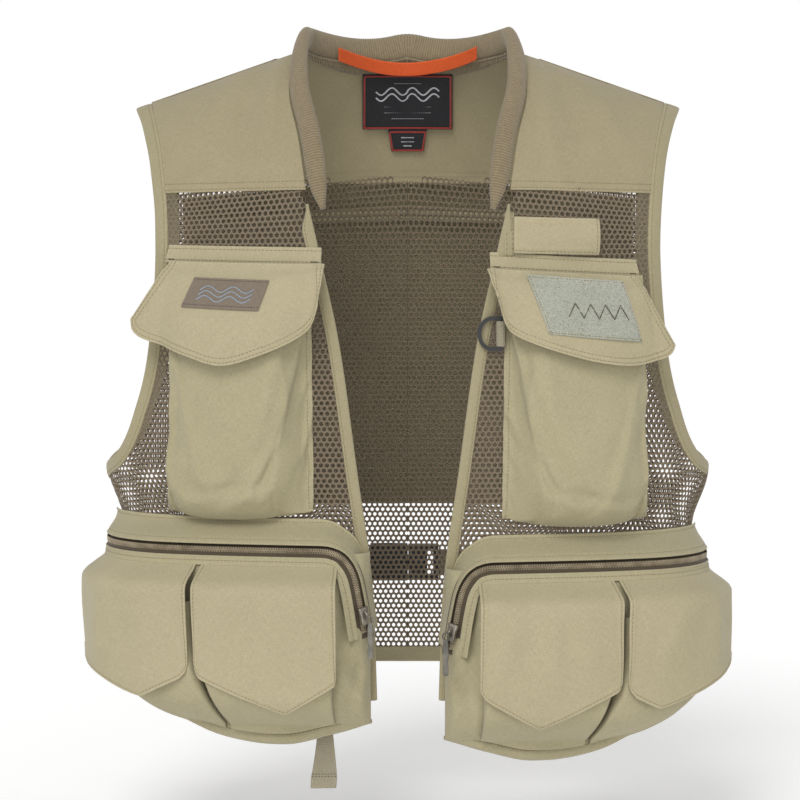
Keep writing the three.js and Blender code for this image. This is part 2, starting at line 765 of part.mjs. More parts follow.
function dRing() {
  const { bar, reach, thick, hole } = D_RING;
  const tall = bar / 2;
  const letterD = (right, height, left) => {
    const bend = -reach * 0.35;
    const shape = new THREE.Shape();
    shape.moveTo(right, -height);
    shape.lineTo(right, height);
    shape.lineTo(bend, height);
    shape.absellipse(bend, 0, left + bend, height, Math.PI / 2, Math.PI * 1.5, false);
    return shape;
  };
  const extrude = (shape, depth) => {
    const settings = { depth, bevelEnabled: false, curveSegments: 10 };
    return new THREE.ExtrudeGeometry(shape, settings).translate(0, 0, -depth / 2);
  };
  const outside = extrude(letterD(thick / 2, tall, reach), thick);
  const inner = tall - thick;
  const inside = extrude(letterD(-thick / 2, inner, reach - thick), thick + 2);
  const ring = cut(outside, inside).rotateX(Math.PI / 2);
  const at = place(phiAt(D_RING_AT.x, D_RING_AT.z), D_RING_AT.z - SPRING_Z, D_RING_AT.offset);
  add("d_ring", ring.translate(at.x, at.y, at.z), cloth(PLASTIC, 0.45));
  const span = inner * 2 - 2;
  const block = box(8, 8.4, span, [at.x + 0.6, at.y, at.z]);
  const channel = box(hole, hole, span + 2, [at.x, at.y, at.z]);
  const mouth = box(2, 1, span + 2, [at.x + 5, at.y, at.z]);
  add("d_ring_webbing", cut(block, channel, mouth), cloth(STRAP));
}

// ---- cargo pockets ----
const cargoDrop = (side) => (side === LEFT ? CARGO.drop : 0);

// How far the cargo pocket stands off the net: the front face, the slanted gusset by the front
// edge, the shallower side and the rounded bottom.
function cargoDepth(side) {
  const drop = cargoDrop(side);
  const inner = phiAt(CARGO.innerX, CARGO.bottomZ);
  const gusset = phiAt(CARGO.flapInnerX, CARGO.bottomZ);
  return (phi, level) => {
    const z = SPRING_Z + level + drop;
    const angle = Math.abs(phi);
    const fromBand = clamp01((CARGO.bandTopZ - z) / (CARGO.bandTopZ - CARGO.zipZ));
    const slope = mix(half + LAYER_GAP, CARGO.zipOffset, fromBand);
    const belowZip = clamp01((CARGO.zipZ - z) / 32);
    const front = mix(slope, CARGO.depth, Math.sin((belowZip * Math.PI) / 2));
    const rise = clamp01((angle - inner) / (gusset - inner));
    const sideways = clamp01((angle - 48) / (CARGO.outerPhi - 48));
    const taper = mix(1, CARGO.sideDepth / CARGO.depth, sideways ** 1.5);
    const foot = clamp01((CARGO.bottomZ + 30 - z) / 30);
    return front * mix(0.55, 1, rise) * taper * (1 - 0.6 * foot ** 2);
  };
}

function cargoMap(side, fromPhi, toPhi, topZ, bottomZ) {
  const drop = cargoDrop(side);
  return (u, v) => [side * mix(fromPhi, toPhi, u), mix(topZ, bottomZ, v) - drop - SPRING_Z];
}

// The share of the pocket's height that its foot reaches: lowest at one angle, higher at the side.
const FOOT_PHI = 36;
const cargoFoot = (phi) => 1 - 0.17 * clamp01(Math.abs(phi - FOOT_PHI) / 40) ** 2;

function cargoPocket(side) {
  const name = sideName(side);
  const depth = cargoDepth(side);
  const inner = phiAt(CARGO.innerX, CARGO.bottomZ);
  const low = half + BINDING.thickness / 2 + LAYER_GAP;
  const pouchTop = CARGO.zipZ - 3;
  const bodyMap = (u, v) => {
    const phi = mix(inner, CARGO.outerPhi, u);
    const bottom = mix(CARGO.bandTopZ, CARGO.bottomZ, cargoFoot(phi));
    return [side * phi, mix(pouchTop, bottom, v) - cargoDrop(side) - SPRING_Z];
  };
  add(`cargo_pouch_${name}`, pouch(bodyMap, depth, low, 14, 9), cloth(TAN));

  const bandMap = cargoMap(side, inner, CARGO.outerPhi, CARGO.bandTopZ, CARGO.zipZ + 2);
  const bandLow = half + 1.5 * POCKET_GAP;
  const bandLift = (extra) => (u, v) => {
    return Math.max(depth(...bandMap(u, v)), bandLow) + extra;
  };
  const band = patch(bandMap, bandLift(0), bandLift(CLOTH), 14, 2);
  add(`cargo_band_${name}`, band, cloth(TAN));
  cargoZip(side, depth);
  smallPouches(side, depth);
}

// The zip's centre line: along the top from the side, round the corner and down the gusset.
function zipPath(side) {
  const drop = cargoDrop(side);
  const z = CARGO.zipZ;
  const angle = (x, height) => phiAt(x, height, 30);
  return (t) => {
    const curve = through([
      [0, CARGO.outerPhi - 1, z],
      [0.3, 60, z],
      [0.6, angle(80, z), z],
      [0.7, angle(57, z), z - 2],
      [0.77, angle(47, z), z - 10],
      [0.84, angle(41, z), z - 24],
      [1, angle(34, z), z - 68],
    ]);
    const [phi, height] = curve(t);
    return [phi, height - drop - SPRING_Z];
  };
}

const ZIP_PARK = 0.935;
const ZIP_TRAVEL_TOP = 0.86;

function cargoZip(side, depth) {
  const name = sideName(side);
  const path = zipPath(side);
  const strip = (u, v) => beside(path, u, mix(-ZIP.width / 2, ZIP.width / 2, v));
  const base = CLOTH + 2 * LAYER_GAP;
  const lift = (extra) => (u, v) => depth(...strip(u, v)) + base + extra;
  const tape = patch(mirrored(side, strip), lift(0), lift(ZIP.thickness), 26, 1);
  add(`cargo_zip_${name}`, tape, cloth(ZIP_BROWN, 0.6));

  const on = (t, sideways = 0) => {
    const [phi, level] = beside(path, t, sideways);
    return place(side * phi, level, depth(phi, level) + base + ZIP.thickness);
  };
  const park = on(ZIP_PARK);
  const up = on(ZIP_TRAVEL_TOP).sub(park).normalize();
  const right = on(ZIP_PARK, ZIP.width / 2).sub(on(ZIP_PARK, -ZIP.width / 2));
  right.addScaledVector(up, -right.dot(up)).normalize();
  if (right.x < 0) right.negate();
  const face = up.clone().cross(right).normalize();
  if (face.y > 0) face.negate();
  right.copy(face).cross(up);
  const frame = new THREE.Matrix4().makeBasis(right, face, up);
  const [width, thick, length] = ZIP.slider;
  const clearance = 1.2;
  const body = box(width, thick, length, [0, clearance + thick / 2, 0]);
  const bridge = box(2.4, 3.4, 8, [0, clearance + thick + 1.5, 1]);
  const eye = box(4, 1.8, 4.4, [0, clearance + thick + 1.0, 0]);
  const slider = add(`zip_slider_${name}`, cut(joined(body, bridge), eye), cloth(METAL, 0.4));
  slider.applyMatrix4(frame);
  slider.position.copy(park);

  const [pullWidth, pullThick, pullLength] = ZIP.pull;
  const pullDown = pullLength / 2 - 2;
  const blank = box(pullWidth, pullThick, pullLength, [0, 0, -pullDown]);
  const slot = box(2.4, pullThick + 2, 4, [0, 0, -1]);
  const holder = new THREE.Group();
  const pull = add(`zip_pull_${name}`, cut(blank, slot), cloth(METAL, 0.4), holder);
  pull.position.set(0, 0, 0);
  const eyeAt = new THREE.Vector3(0, clearance + thick + 6.4, 0).applyMatrix4(frame).add(park);
  holder.position.copy(eyeAt);
  vest.add(holder);
}

const flapLength = through([
  [0, 0.8],
  [0.3, 0.92],
  [0.55, 1],
  [0.8, 0.92],
  [1, 0.8],
]);

// Two small pouches on the front of the cargo pouch, each under a flap of its own.
function smallPouches(side, depth) {
  const name = sideName(side);
  const drop = cargoDrop(side);
  const split = phiAt(CARGO.flapSplitX, CARGO.zipZ, 30);
  const pieces = [
    { label: "inner", from: phiAt(CARGO.flapInnerX, CARGO.bottomZ) + 1.4, to: split - 0.5 },
    { label: "outer", from: split + 0.5, to: CARGO.outerPhi - 1 },
  ];
  const pouchTop = CARGO.flapTopZ - 31;
  for (const { label, from, to } of pieces) {
    const map = (u, v) => {
      const phi = mix(from, to, u);
      const bottom = mix(CARGO.bandTopZ, CARGO.bottomZ, cargoFoot(phi)) + 8;
      return [side * phi, mix(pouchTop, bottom, v) - drop - SPRING_Z];
    };
    const lift = (extra) => (u, v) => depth(...map(u, v)) + extra;
    const low = POCKET_GAP + CLOTH;
    const high = low + CARGO.smallPouchDepth;
    const outer = patch(map, lift(low), lift(high), 6, 6);
    const inset = 0.05;
    const innerMap = (u, v) => {
      const [phi, level] = map(mix(inset, 1 - inset, u), v * (1 - inset / 2));
      return [phi, v === 0 ? level + 6 : level];
    };
    const innerLift = (extra) => (u, v) => {
      return depth(...map(mix(inset, 1 - inset, u), v * (1 - inset / 2))) + extra;
    };
    const inner = patch(innerMap, innerLift(low + CLOTH), innerLift(high - CLOTH), 6, 6);
    add(`small_pouch_${label}_${name}`, cut(outer, inner), cloth(TAN));
    cargoFlap(side, label, from, to, depth);
  }
}

function cargoFlap(side, label, from, to, depth) {
  const drop = cargoDrop(side);
  const name = sideName(side);
  const map = (u, v) => {
    const length = CARGO.flapLength * flapLength(u)[0];
    return [side * mix(from, to, u), CARGO.flapTopZ - v * length - drop - SPRING_Z];
  };
  const lift = (extra) => (u, v) => {
    const [phi, level] = map(u, v);
    const over = CARGO.smallPouchDepth + CLOTH + 2 * POCKET_GAP;
    const clear = mix(CARGO.flapSeamLift, over, clamp01(v * 9));
    return depth(phi, level) + clear + extra;
  };
  const flap = patch(map, lift(0), lift(CLOTH * 1.2), 6, 6);
  add(`cargo_flap_${label}_${name}`, flap, cloth(FLAP_TAN));
}

// ---- back pocket, belt, strap ----
function backPocket() {
  const { halfWidth, top, bottom, depth } = BACK_POCKET;
  const low = half + POCKET_GAP + LAYER_GAP;
  const phi = phiAt(halfWidth, -220);
  const map = (u, v) => {
    const s = 2 * u - 1;
    return [(s < 0 ? -1 : 1) * mix(180, 180 - phi, Math.abs(s)), levelAt(mix(top, bottom, v))];
  };
  const depthAt = (angle, level) => {
    const across = Math.abs(Math.abs(angle) - 180) / phi;
    const down = clamp01((levelAt(top) - level) / (levelAt(top) - levelAt(bottom)));
    return low + (depth - low) * (1 - 0.5 * across ** 3) * (1 - 0.5 * Math.abs(2 * down - 1) ** 3);
  };
  add("back_pocket", pouch(map, depthAt, low, 12, 6), cloth(TAN));
}

const BELT_Y_GAP = 2.4;
const PRONG = { reach: 15, root: 4, tip: 6, thick: 3, clearance: 1.2 };

function belt() {
  const { z, webbing, webbingThickness, buckleLength, buckleHeight } = BELT;
  const back = onForm(180, z - SPRING_Z).y + half + BELT_Y_GAP;
  const thick = 9;
  const y = back + thick / 2;
  const plastic = () => cloth(PLASTIC, 0.45);
  const femaleLength = buckleLength * 0.52;
  const maleLength = buckleLength * 0.42;
  const female = box(femaleLength, thick, buckleHeight, [-femaleLength / 2, y, z]);
  const cavityHeight = buckleHeight - 5;
  const cavity = box(femaleLength - 8, thick - 3.6, cavityHeight, [-(femaleLength - 8) / 2 + 1, y, z]);
  const window = box(11, thick - 3.6, buckleHeight + 4, [-femaleLength / 2 - 1, y, z]);
  add("buckle_female", cut(female, cavity, window), plastic());

  const male = box(maleLength, thick, buckleHeight - 1, [maleLength / 2 + 0.8, y, z]);
  const slotAt = maleLength - 6;
  const slot = box(5, thick + 2, webbing + 2, [slotAt, y, z]);
  const tongue = box(12, 2.6, 7, [-4.6, y, z]);
  add("buckle_male", cut(joined(male, tongue), slot), plastic());

  for (const [label, sign] of [["upper", 1], ["lower", -1]]) {
    const outline = new THREE.Shape([
      new THREE.Vector2(0.3, 6.2),
      new THREE.Vector2(0.3, 6.2 + PRONG.root),
      new THREE.Vector2(-PRONG.reach * 0.6, cavityHeight / 2 - PRONG.clearance),
      new THREE.Vector2(-PRONG.reach, cavityHeight / 2 - PRONG.clearance - 1.9),
      new THREE.Vector2(-PRONG.reach, cavityHeight / 2 - PRONG.tip),
    ]);
    const prong = new THREE.ExtrudeGeometry(outline, { depth: PRONG.thick, bevelEnabled: false });
    prong.translate(0, 0, -PRONG.thick / 2).rotateX(Math.PI / 2);
    if (sign < 0) prong.rotateX(Math.PI);
    add(`buckle_prong_${label}`, prong.translate(0, y, z), plastic());
  }

  const sewnFrom = -170;
  const fixed = (u, v) => {
    const x = mix(sewnFrom, -femaleLength - SEAM_GAP, u);
    const phi = 180 - phiAt(Math.abs(x), z);
    return [-phi, z - SPRING_Z + (0.5 - v) * webbing];
  };
  const lift = half + LAYER_GAP;
  const rise = (u) => mix(lift, BELT_Y_GAP + 1.5, clamp01(u * 2));
  const strap = patch(fixed, (u) => rise(u), (u) => rise(u) + webbingThickness, 10, 1);
  add("belt_sewn", strap, cloth(STRAP));

  const slideFrom = maleLength + 0.8 + SEAM_GAP;
  const slideTo = 128;
  const middle = (slideFrom + slideTo) / 2;
  const run = box(slideTo - slideFrom, webbingThickness, webbing, [middle, y, z]);
  add("belt_sliding", run, cloth(STRAP));

  const keeperX = 104;
  const keeperWidth = 10;
  const surface = onForm(180 - phiAt(keeperX, z), z - SPRING_Z).y + half;
  const keeperDeep = y + 3 - surface - 1.4;
  const keeperY = surface + 1.4 + keeperDeep / 2;
  const keeper = box(keeperWidth, keeperDeep, webbing + 8, [keeperX, keeperY, z]);
  const pass = box(keeperWidth + 2, webbingThickness + 1.4, webbing + 2, [keeperX, y, z]);
  add("belt_keeper", cut(keeper, pass), plastic());
}

function strapTail() {
  const centreX = 66;
  const width = 20;
  const top = HEM_TOP_Z - HEM_TAPE - 2 * SEAM_GAP;
  const length = 70;
  const map = (u, v) => {
    const x = centreX + (u - 0.5) * width;
    const z = top - v * length;
    return [-phiAt(x, top), z - SPRING_Z];
  };
  add("strap_tail", patch(map, -1, 0.5, 2, 4), cloth(STRAP));
}

for (const side of [RIGHT, LEFT]) {
  frontYoke(side);
  frontNet(side);
  armholeBinding(side);
  frontBinding(side);
  chestPocket(side);
  cargoPocket(side);
}
backYoke();
backNet();
hemTape();
ribCollar();
neckPieces();
chestTrim();
backPocket();
belt();
strapTail();

export default vest;
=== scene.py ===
# %% [markdown]
# # A fishing vest, finished in Blender
# The vest is a body of dark hexagonal net with tan nylon yokes, a rib-knit collar, two gusseted
# chest pockets under flaps, and two deep zipped pockets at the waist that carry four flapped
# pouches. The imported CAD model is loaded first: it gives the place of every piece, the bodies
# that move and the joints. Each soft solid is then replaced by cloth worked out here.

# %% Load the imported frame
import math

import bpy
import numpy as np
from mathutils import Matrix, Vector


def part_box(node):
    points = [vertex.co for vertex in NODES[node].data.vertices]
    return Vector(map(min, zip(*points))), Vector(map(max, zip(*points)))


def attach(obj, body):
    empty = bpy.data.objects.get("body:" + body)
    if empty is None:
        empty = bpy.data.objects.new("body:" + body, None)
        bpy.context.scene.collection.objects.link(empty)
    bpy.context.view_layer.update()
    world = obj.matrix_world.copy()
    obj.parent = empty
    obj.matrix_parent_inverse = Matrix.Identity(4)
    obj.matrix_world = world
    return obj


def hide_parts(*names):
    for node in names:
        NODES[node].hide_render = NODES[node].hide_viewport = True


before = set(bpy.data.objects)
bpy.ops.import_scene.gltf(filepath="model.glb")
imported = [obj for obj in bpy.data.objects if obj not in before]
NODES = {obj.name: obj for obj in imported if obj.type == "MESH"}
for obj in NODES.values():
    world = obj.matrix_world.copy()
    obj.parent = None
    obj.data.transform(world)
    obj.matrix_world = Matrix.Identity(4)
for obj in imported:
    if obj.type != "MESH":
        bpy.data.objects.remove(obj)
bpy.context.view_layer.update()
scene = bpy.context.scene
MM = 0.001
RIGHT, LEFT = -1, 1
SIDE_NAME = {RIGHT: "right", LEFT: "left"}

# %% [markdown]
# ## Camera
# A long lens far from the vest keeps the pockets near it from looking larger than the back. The
# camera stands three metres in front, at the height of the neck, and looks slightly down at the
# middle of the vest.

# %% Camera
FIELD_OF_VIEW = 11.88
LENS_AT = (-0.00624, -3.11, -0.02)
LOOKS_DOWN = 4.3

camera_data = bpy.data.cameras.new("camera")
camera_data.sensor_fit = "HORIZONTAL"
camera_data.angle = math.radians(FIELD_OF_VIEW)
camera = bpy.data.objects.new("camera", camera_data)
scene.collection.objects.link(camera)
camera.location = LENS_AT
camera.rotation_euler = (math.radians(90 - LOOKS_DOWN), 0, 0)
scene.camera = camera
scene.view_settings.view_transform = "Standard"

# %% [markdown]
# ## Light and floor
# Soft light comes from two distant lamps with wide faces: the key in front and above, the fill
# low in front. Under them lies an even light from all sides, which the camera sees as a white
# wall. The floor is a wide plane just under the lowest strap. It glows a little by itself, so that
# no line shows where it meets the wall.

# %% Floor, world and lamps
FLOOR_Z = -0.6
FLOOR_REACH = 30
FLOOR_GLOW = 0.15


def floor_material():
    """Pale paper: a very light grey whose tone wanders by one or two per cent."""
    material = bpy.data.materials.new("pale_floor")
    material.use_nodes = True
    tree = material.node_tree
    shader = tree.nodes["Principled BSDF"]
    noise = tree.nodes.new("ShaderNodeTexNoise")
    noise.inputs["Scale"].default_value = 3
    ramp = tree.nodes.new("ShaderNodeValToRGB")
    ramp.color_ramp.elements[0].color = (0.985, 0.985, 0.985, 1)
    ramp.color_ramp.elements[1].color = (1.0, 1.0, 0.995, 1)
    tree.links.new(noise.outputs["Fac"], ramp.inputs["Fac"])
    tree.links.new(ramp.outputs["Color"], shader.inputs["Base Color"])
    shader.inputs["Roughness"].default_value = 0.8
    shader.inputs["Emission Color"].default_value = (1, 1, 1, 1)
    shader.inputs["Emission Strength"].default_value = FLOOR_GLOW
    return material


floor_mesh = bpy.data.meshes.new("floor")
floor_mesh.from_pydata(
    [(x * FLOOR_REACH, y * FLOOR_REACH, FLOOR_Z) for x, y in ((-1, -1), (1, -1), (1, 1), (-1, 1))],
    [],
    [(0, 1, 2, 3)],
)
floor = bpy.data.objects.new("floor", floor_mesh)
floor.data.materials.append(floor_material())
scene.collection.objects.link(floor)

world = bpy.data.worlds.new("studio")
scene.world = world
world.use_nodes = True
backdrop = world.node_tree.nodes["Background"]
backdrop.inputs["Color"].default_value = (1, 1, 1, 1)
AMBIENT, SEEN = 0.58, 1.0
seen = world.node_tree.nodes.new("ShaderNodeLightPath")
level = world.node_tree.nodes.new("ShaderNodeMapRange")
level.inputs["To Min"].default_value = AMBIENT
level.inputs["To Max"].default_value = SEEN
world.node_tree.links.new(seen.outputs["Is Camera Ray"], level.inputs["Value"])
world.node_tree.links.new(level.outputs["Result"], backdrop.inputs["Strength"])


def sun(name, shines_from, spread_degrees, strength):
    """A distant lamp with a wide face, which gives the same light to the whole floor."""
    data = bpy.data.lights.new(name, "SUN")
    data.angle = math.radians(spread_degrees)
    data.energy = strength
    lit = bpy.data.objects.new(name, data)
    lit.rotation_euler = Vector(shines_from).to_track_quat("Z", "Y").to_euler()
    scene.collection.objects.link(lit)


sun("lamp_key", (-0.3, -1.0, 0.9), 26, 1.42)
sun("lamp_fill", (0.12, -1.0, 0.12), 40, 0.7)
print("camera, floor and two lamps are in place")

# %% [markdown]
# ## The body form
# Every piece of cloth hangs on one rounded trunk. A place on it is an angle round the body
# (0 front, 90 at the side, 180 back, negative on the wearer's right) and a level: the height along
# the cloth, counted from the line where the shoulders begin to arch over. Measures are in
# millimetres, and become metres only when a mesh is made.

# %% Smooth curves through stations
def smooth_through(stations):
    """Cubic Hermite through rows of (at, value, ...): between two rows each value is
    h00 a + h10 span slope_a + h01 b + h11 span slope_b, a slope being that of the neighbours."""
    rows = np.array(stations, float)
    rows = rows[np.argsort(rows[:, 0])]
    at, value = rows[:, 0], rows[:, 1:]
    order = np.arange(len(at))
    low, high = np.maximum(order - 1, 0), np.minimum(order + 1, len(at) - 1)
    slope = (value[high] - value[low]) / (at[high] - at[low])[:, None]

    def curve(x):
        x = np.clip(np.asarray(x, float), at[0], at[-1])
        i = np.clip(np.searchsorted(at, x, side="right") - 1, 0, len(at) - 2)
        span = (at[i + 1] - at[i])[..., None]
        t = ((x - at[i]) / (at[i + 1] - at[i]))[..., None]
        return (
            (2 * t**3 - 3 * t**2 + 1) * value[i]
            + (t**3 - 2 * t**2 + t) * span * slope[i]
            + (3 * t**2 - 2 * t**3) * value[i + 1]
            + (t**3 - t**2) * span * slope[i + 1]
        )

    return curve


def mix(a, b, t):
    """a (1 - t) + b t"""
    return a + (b - a) * t


def clamp01(t):
    """t held between 0 and 1."""
    return np.clip(t, 0.0, 1.0)


def smooth_step(t):
    """3 t^2 - 2 t^3, held to 0..1"""
    t = clamp01(t)
    return t * t * (3 - 2 * t)


# %% The trunk
SPRING_Z = -130
UNDERARM_Z = -307
HEM_TOP_Z = -470
YOKE_HEM_Z = -81
HEM_TAPE = 12
ARCH = 140
RIDGE_LEVEL = ARCH * math.pi / 2
ROUNDNESS = 2.35
NECK_HALF_WIDTH = 85
BINDING_WIDTH = 11
FRONT_BINDING_WIDTH = 9
COLLAR_TIP_Z = -100
UNDERARM_LEVEL = UNDERARM_Z - SPRING_Z
NET_FOOT_LEVEL = HEM_TOP_Z - SPRING_Z - 3

girth = smooth_through([
    [-600, 224, 110, 105],
    [-480, 226, 110, 105],
    [-352, 231, 112, 106],
    [UNDERARM_Z, 243, 114, 110],
    [-200, 238, 117, 116],
    [SPRING_Z, 236, 118, 114],
])


def ridge_z(x):
    """Height of the shoulder ridge, which falls by 0.35 per millimetre away from the neck."""
    return 28 + 0.35 * (NECK_HALF_WIDTH - np.abs(x))


def on_form(phi, level):
    """Superellipse of the girth at that height; above the spring line it arches over towards the
    shoulder's ridge: z climbs with the sine of level / ARCH while y closes in with the cosine."""
    phi, level = np.broadcast_arrays(np.asarray(phi, float), np.asarray(level, float))
    angle = np.radians(np.abs(phi))
    half_width, front, back = np.moveaxis(girth(SPRING_Z + np.minimum(level, 0)), -1, 0)
    s, c = np.sin(angle), np.cos(angle)
    r = (np.abs(s) ** ROUNDNESS + np.abs(c) ** ROUNDNESS) ** (-1 / ROUNDNESS)
    x = half_width * r * s
    y = -np.where(c > 0, front, back) * r * c
    arch = np.clip(level / ARCH, 0, math.pi / 2)
    ridge_y = 10 * (1 - 0.6 * clamp01(np.abs(x) / 237))
    y = np.where(level > 0, mix(ridge_y, y, np.cos(arch)), y)
    z = np.where(level > 0, SPRING_Z + (ridge_z(x) - SPRING_Z) * np.sin(arch), SPRING_Z + level)
    return np.stack([x, y, z], -1)


def unit(v):
    """v / |v|."""
    return v / np.maximum(np.linalg.norm(v, axis=-1, keepdims=True), 1e-12)


def form_normal(phi, level):
    """Cross product of the two central differences, one round the body and one up it."""
    step = 0.5
    angle = np.clip(np.abs(phi), step, 180 - step)
    low = np.minimum(level, RIDGE_LEVEL - step)
    across = on_form(angle + step, low) - on_form(angle - step, low)
    up = on_form(angle, low + step) - on_form(angle, low - step)
    return unit(np.cross(across, up))


def place(phi, level, lift=0.0):
    """The point of the form, moved outward by lift, on the side that the sign of phi names."""
    phi, level, lift = np.broadcast_arrays(
        np.asarray(phi, float), np.asarray(level, float), np.asarray(lift, float)
    )
    point = on_form(phi, level) + form_normal(phi, level) * lift[..., None]
    point[..., 0] *= np.where(phi < 0, -1, 1)
    return point


def level_at(z, x=0):
    """Inverse of the arch's height: level = ARCH asin((z - spring) / (ridge - spring))."""
    z = np.asarray(z, float)
    rise = np.clip((z - SPRING_Z) / (ridge_z(x) - SPRING_Z), -1, 1)
    return np.where(z <= SPRING_Z, z - SPRING_Z, ARCH * np.arcsin(rise))


def phi_at(x, z, lift=0.0):
    """Angle whose point has that x, found by halving the interval 0..90 again and again."""
    x, z = np.broadcast_arrays(np.abs(np.asarray(x, float)), np.asarray(z, float))
    level = level_at(z, x)
    low, high = np.zeros(x.shape), np.full(x.shape, 90.0)
    for _ in range(24):
        middle = (low + high) / 2
        here = place(middle, level, lift)[..., 0] if lift else on_form(middle, level)[..., 0]
        low = np.where(here < x, middle, low)
        high = np.where(here < x, high, middle)
    return low


# %% Edges that the panels share
armhole_front = smooth_through([
    [0, 63.6, RIDGE_LEVEL],
    [0.09, 62.3, 185],
    [0.3, 56, 93],
    [0.48, 53.5, 20],
    [0.66, 54.5, -55],
    [0.82, 58.5, -120],
    [0.93, 68, UNDERARM_LEVEL + 15],
    [1, 90, UNDERARM_LEVEL],
])
front_edge_x = smooth_through([
    [-60, 84], [-122, 71], [-200, 54], [-300, 40], [-390, 28], [-490, 24],
])
neck_front = smooth_through([
    [0, 17.9, float(level_at(COLLAR_TIP_Z, 75))],
    [0.2, 18.9, float(level_at(YOKE_HEM_Z, 78))],
    [0.4, 20.4, 84],
    [0.6, 22.2, 124],
    [0.8, 22, 168],
    [1, 20.6, RIDGE_LEVEL],
])


def beside(curve, t, distance):
    """A point moved sideways from a curve on the form by a distance: the curve's direction, in
    millimetres along each of the two coordinates, is turned a quarter and followed."""
    step = 0.004
    q = curve(t)
    d = curve(np.minimum(t + step, 1)) - curve(np.maximum(t - step, 0))
    phi, level = q[..., 0], q[..., 1]
    per_degree = np.linalg.norm(on_form(phi + 0.5, level) - on_form(phi - 0.5, level), axis=-1)
    per_level = np.linalg.norm(on_form(phi, level) - on_form(phi, level - 1), axis=-1)
    along = np.stack([d[..., 0] * per_degree, d[..., 1] * per_level], -1)
    length = np.linalg.norm(along, axis=-1)
    return np.stack(
        [
            phi + distance * along[..., 1] / length / per_degree,
            level - distance * along[..., 0] / length / per_level,
        ],
        -1,
    )


def armhole(t, inset):
    """The whole armhole, from the underarm (0) over the shoulder and down the back (1)."""
    t = np.asarray(t, float)
    q = beside(armhole_front, np.abs(1 - 2 * t), inset)
    return np.stack([np.where(t < 0.5, q[..., 0], 180 - q[..., 0]), q[..., 1]], -1)


def neck_back(t):
    """The neck seam behind the shoulder: x closes in as a cosine while the arch comes down."""
    turn = np.asarray(t, float) * math.pi / 2
    arch = np.radians(54) + np.radians(36) * (1 - np.sin(turn))
    x = NECK_HALF_WIDTH * np.cos(turn)
    return np.stack([180 - phi_at(x, SPRING_Z), arch * ARCH], -1)


def neck_seam(t):
    """The collar's tip (0), the shoulder (1) and the back centre (2)."""
    t = np.asarray(t, float)
    front, back = neck_front(np.minimum(t, 1)), neck_back(np.clip(t - 1, 0, 1))
    return np.where((t < 1)[..., None], front, back)


def armhole_phi(level, inset=0.0):
    """The front armhole's angle at a level, read from the curve, which only ever descends."""
    t = np.linspace(0, 1, 400)
    q = beside(armhole_front, t, inset)
    order = np.argsort(q[:, 1])
    return np.interp(level, q[order, 1], q[order, 0])


def front_edge_phi(level, inset=0.0):
    """The front edge's angle at a level, read from a table down the edge."""
    z = np.linspace(-60, -490, 200)
    x = front_edge_x(z)[:, 0] + inset
    levels = level_at(z, x)
    order = np.argsort(levels)
    return np.interp(level, levels[order], phi_at(x, z)[order])


print("underarm at", place(90, UNDERARM_LEVEL).round(1))

# %% [markdown]
# ## Meshes from arrays
# A piece of cloth is a closed shell: its outer face is a grid of points, its inner face the same
# grid moved inward, and its rim a rounded fold between them. The grid's own lengths, in metres,
# become the UV map, so that a weave keeps its size and follows the threads of the cloth.

# %% Putting arrays into a mesh
FAR_FROM_RIM = 9.0


def make_object(name, points, quads, triangles=None, uv=None, rim=None, material=None):
    """Points in millimetres and faces as index arrays become a smooth mesh object. The rim is the
    distance from an edge that the cloth's material paints lighter (wear and painted highlight), at
    each point or the same for all."""
    quads = np.asarray(quads, np.int32).reshape(-1, 4)
    triangles = np.zeros((0, 3), np.int32) if triangles is None else np.asarray(triangles, np.int32)
    mesh = bpy.data.meshes.new(name)
    mesh.vertices.add(len(points))
    mesh.vertices.foreach_set("co", (np.asarray(points) * MM).astype(np.float32).ravel())
    corners = np.concatenate([quads.ravel(), triangles.ravel()])
    sizes = np.concatenate([np.full(len(quads), 4), np.full(len(triangles), 3)])
    starts = np.concatenate([[0], np.cumsum(sizes)[:-1]])
    mesh.loops.add(len(corners))
    mesh.loops.foreach_set("vertex_index", corners.astype(np.int32))
    mesh.polygons.add(len(sizes))
    mesh.polygons.foreach_set("loop_start", starts.astype(np.int32))
    mesh.update(calc_edges=True)
    mesh.polygons.foreach_set("use_smooth", np.ones(len(sizes), bool))
    if uv is not None:
        layer = mesh.uv_layers.new(name="threads")
        layer.data.foreach_set("uv", (np.asarray(uv)[corners] * MM).astype(np.float32).ravel())
    if rim is not None:
        wear_and_highlight_rim = mesh.attributes.new("rim", "FLOAT", "POINT")
        wear_and_highlight_rim.data.foreach_set("value", np.broadcast_to(rim, len(points)).astype(np.float32))
    made = bpy.data.objects.new(name, mesh)
    scene.collection.objects.link(made)
    if material is not None:
        mesh.materials.append(material)
    return made


def grid_quads(nu, nv, offset=0, closed_u=False):
    """Index quads of a grid of nu by nv points, joined round in u where it is closed."""
    i = np.arange(nu if closed_u else nu - 1)[:, None]
    j = np.arange(nv - 1)[None, :]
    a = offset + i * nv + j
    b = offset + ((i + 1) % nu) * nv + j
    return np.stack([a, b, b + 1, a + 1], -1).reshape(-1, 4)


def grid_lengths(points, axis):
    """Running length along one axis of a grid, as the mean over the other."""
    steps = np.linalg.norm(np.diff(points, axis=axis), axis=-1).mean(axis=1 - axis)
    return np.concatenate([[0], np.cumsum(steps)])


def grid_normals(points):
    """Unit cross product of the grid's two directions at each point."""
    du = np.gradient(points, axis=0)
    dv = np.gradient(points, axis=1)
    return unit(np.cross(du, dv))


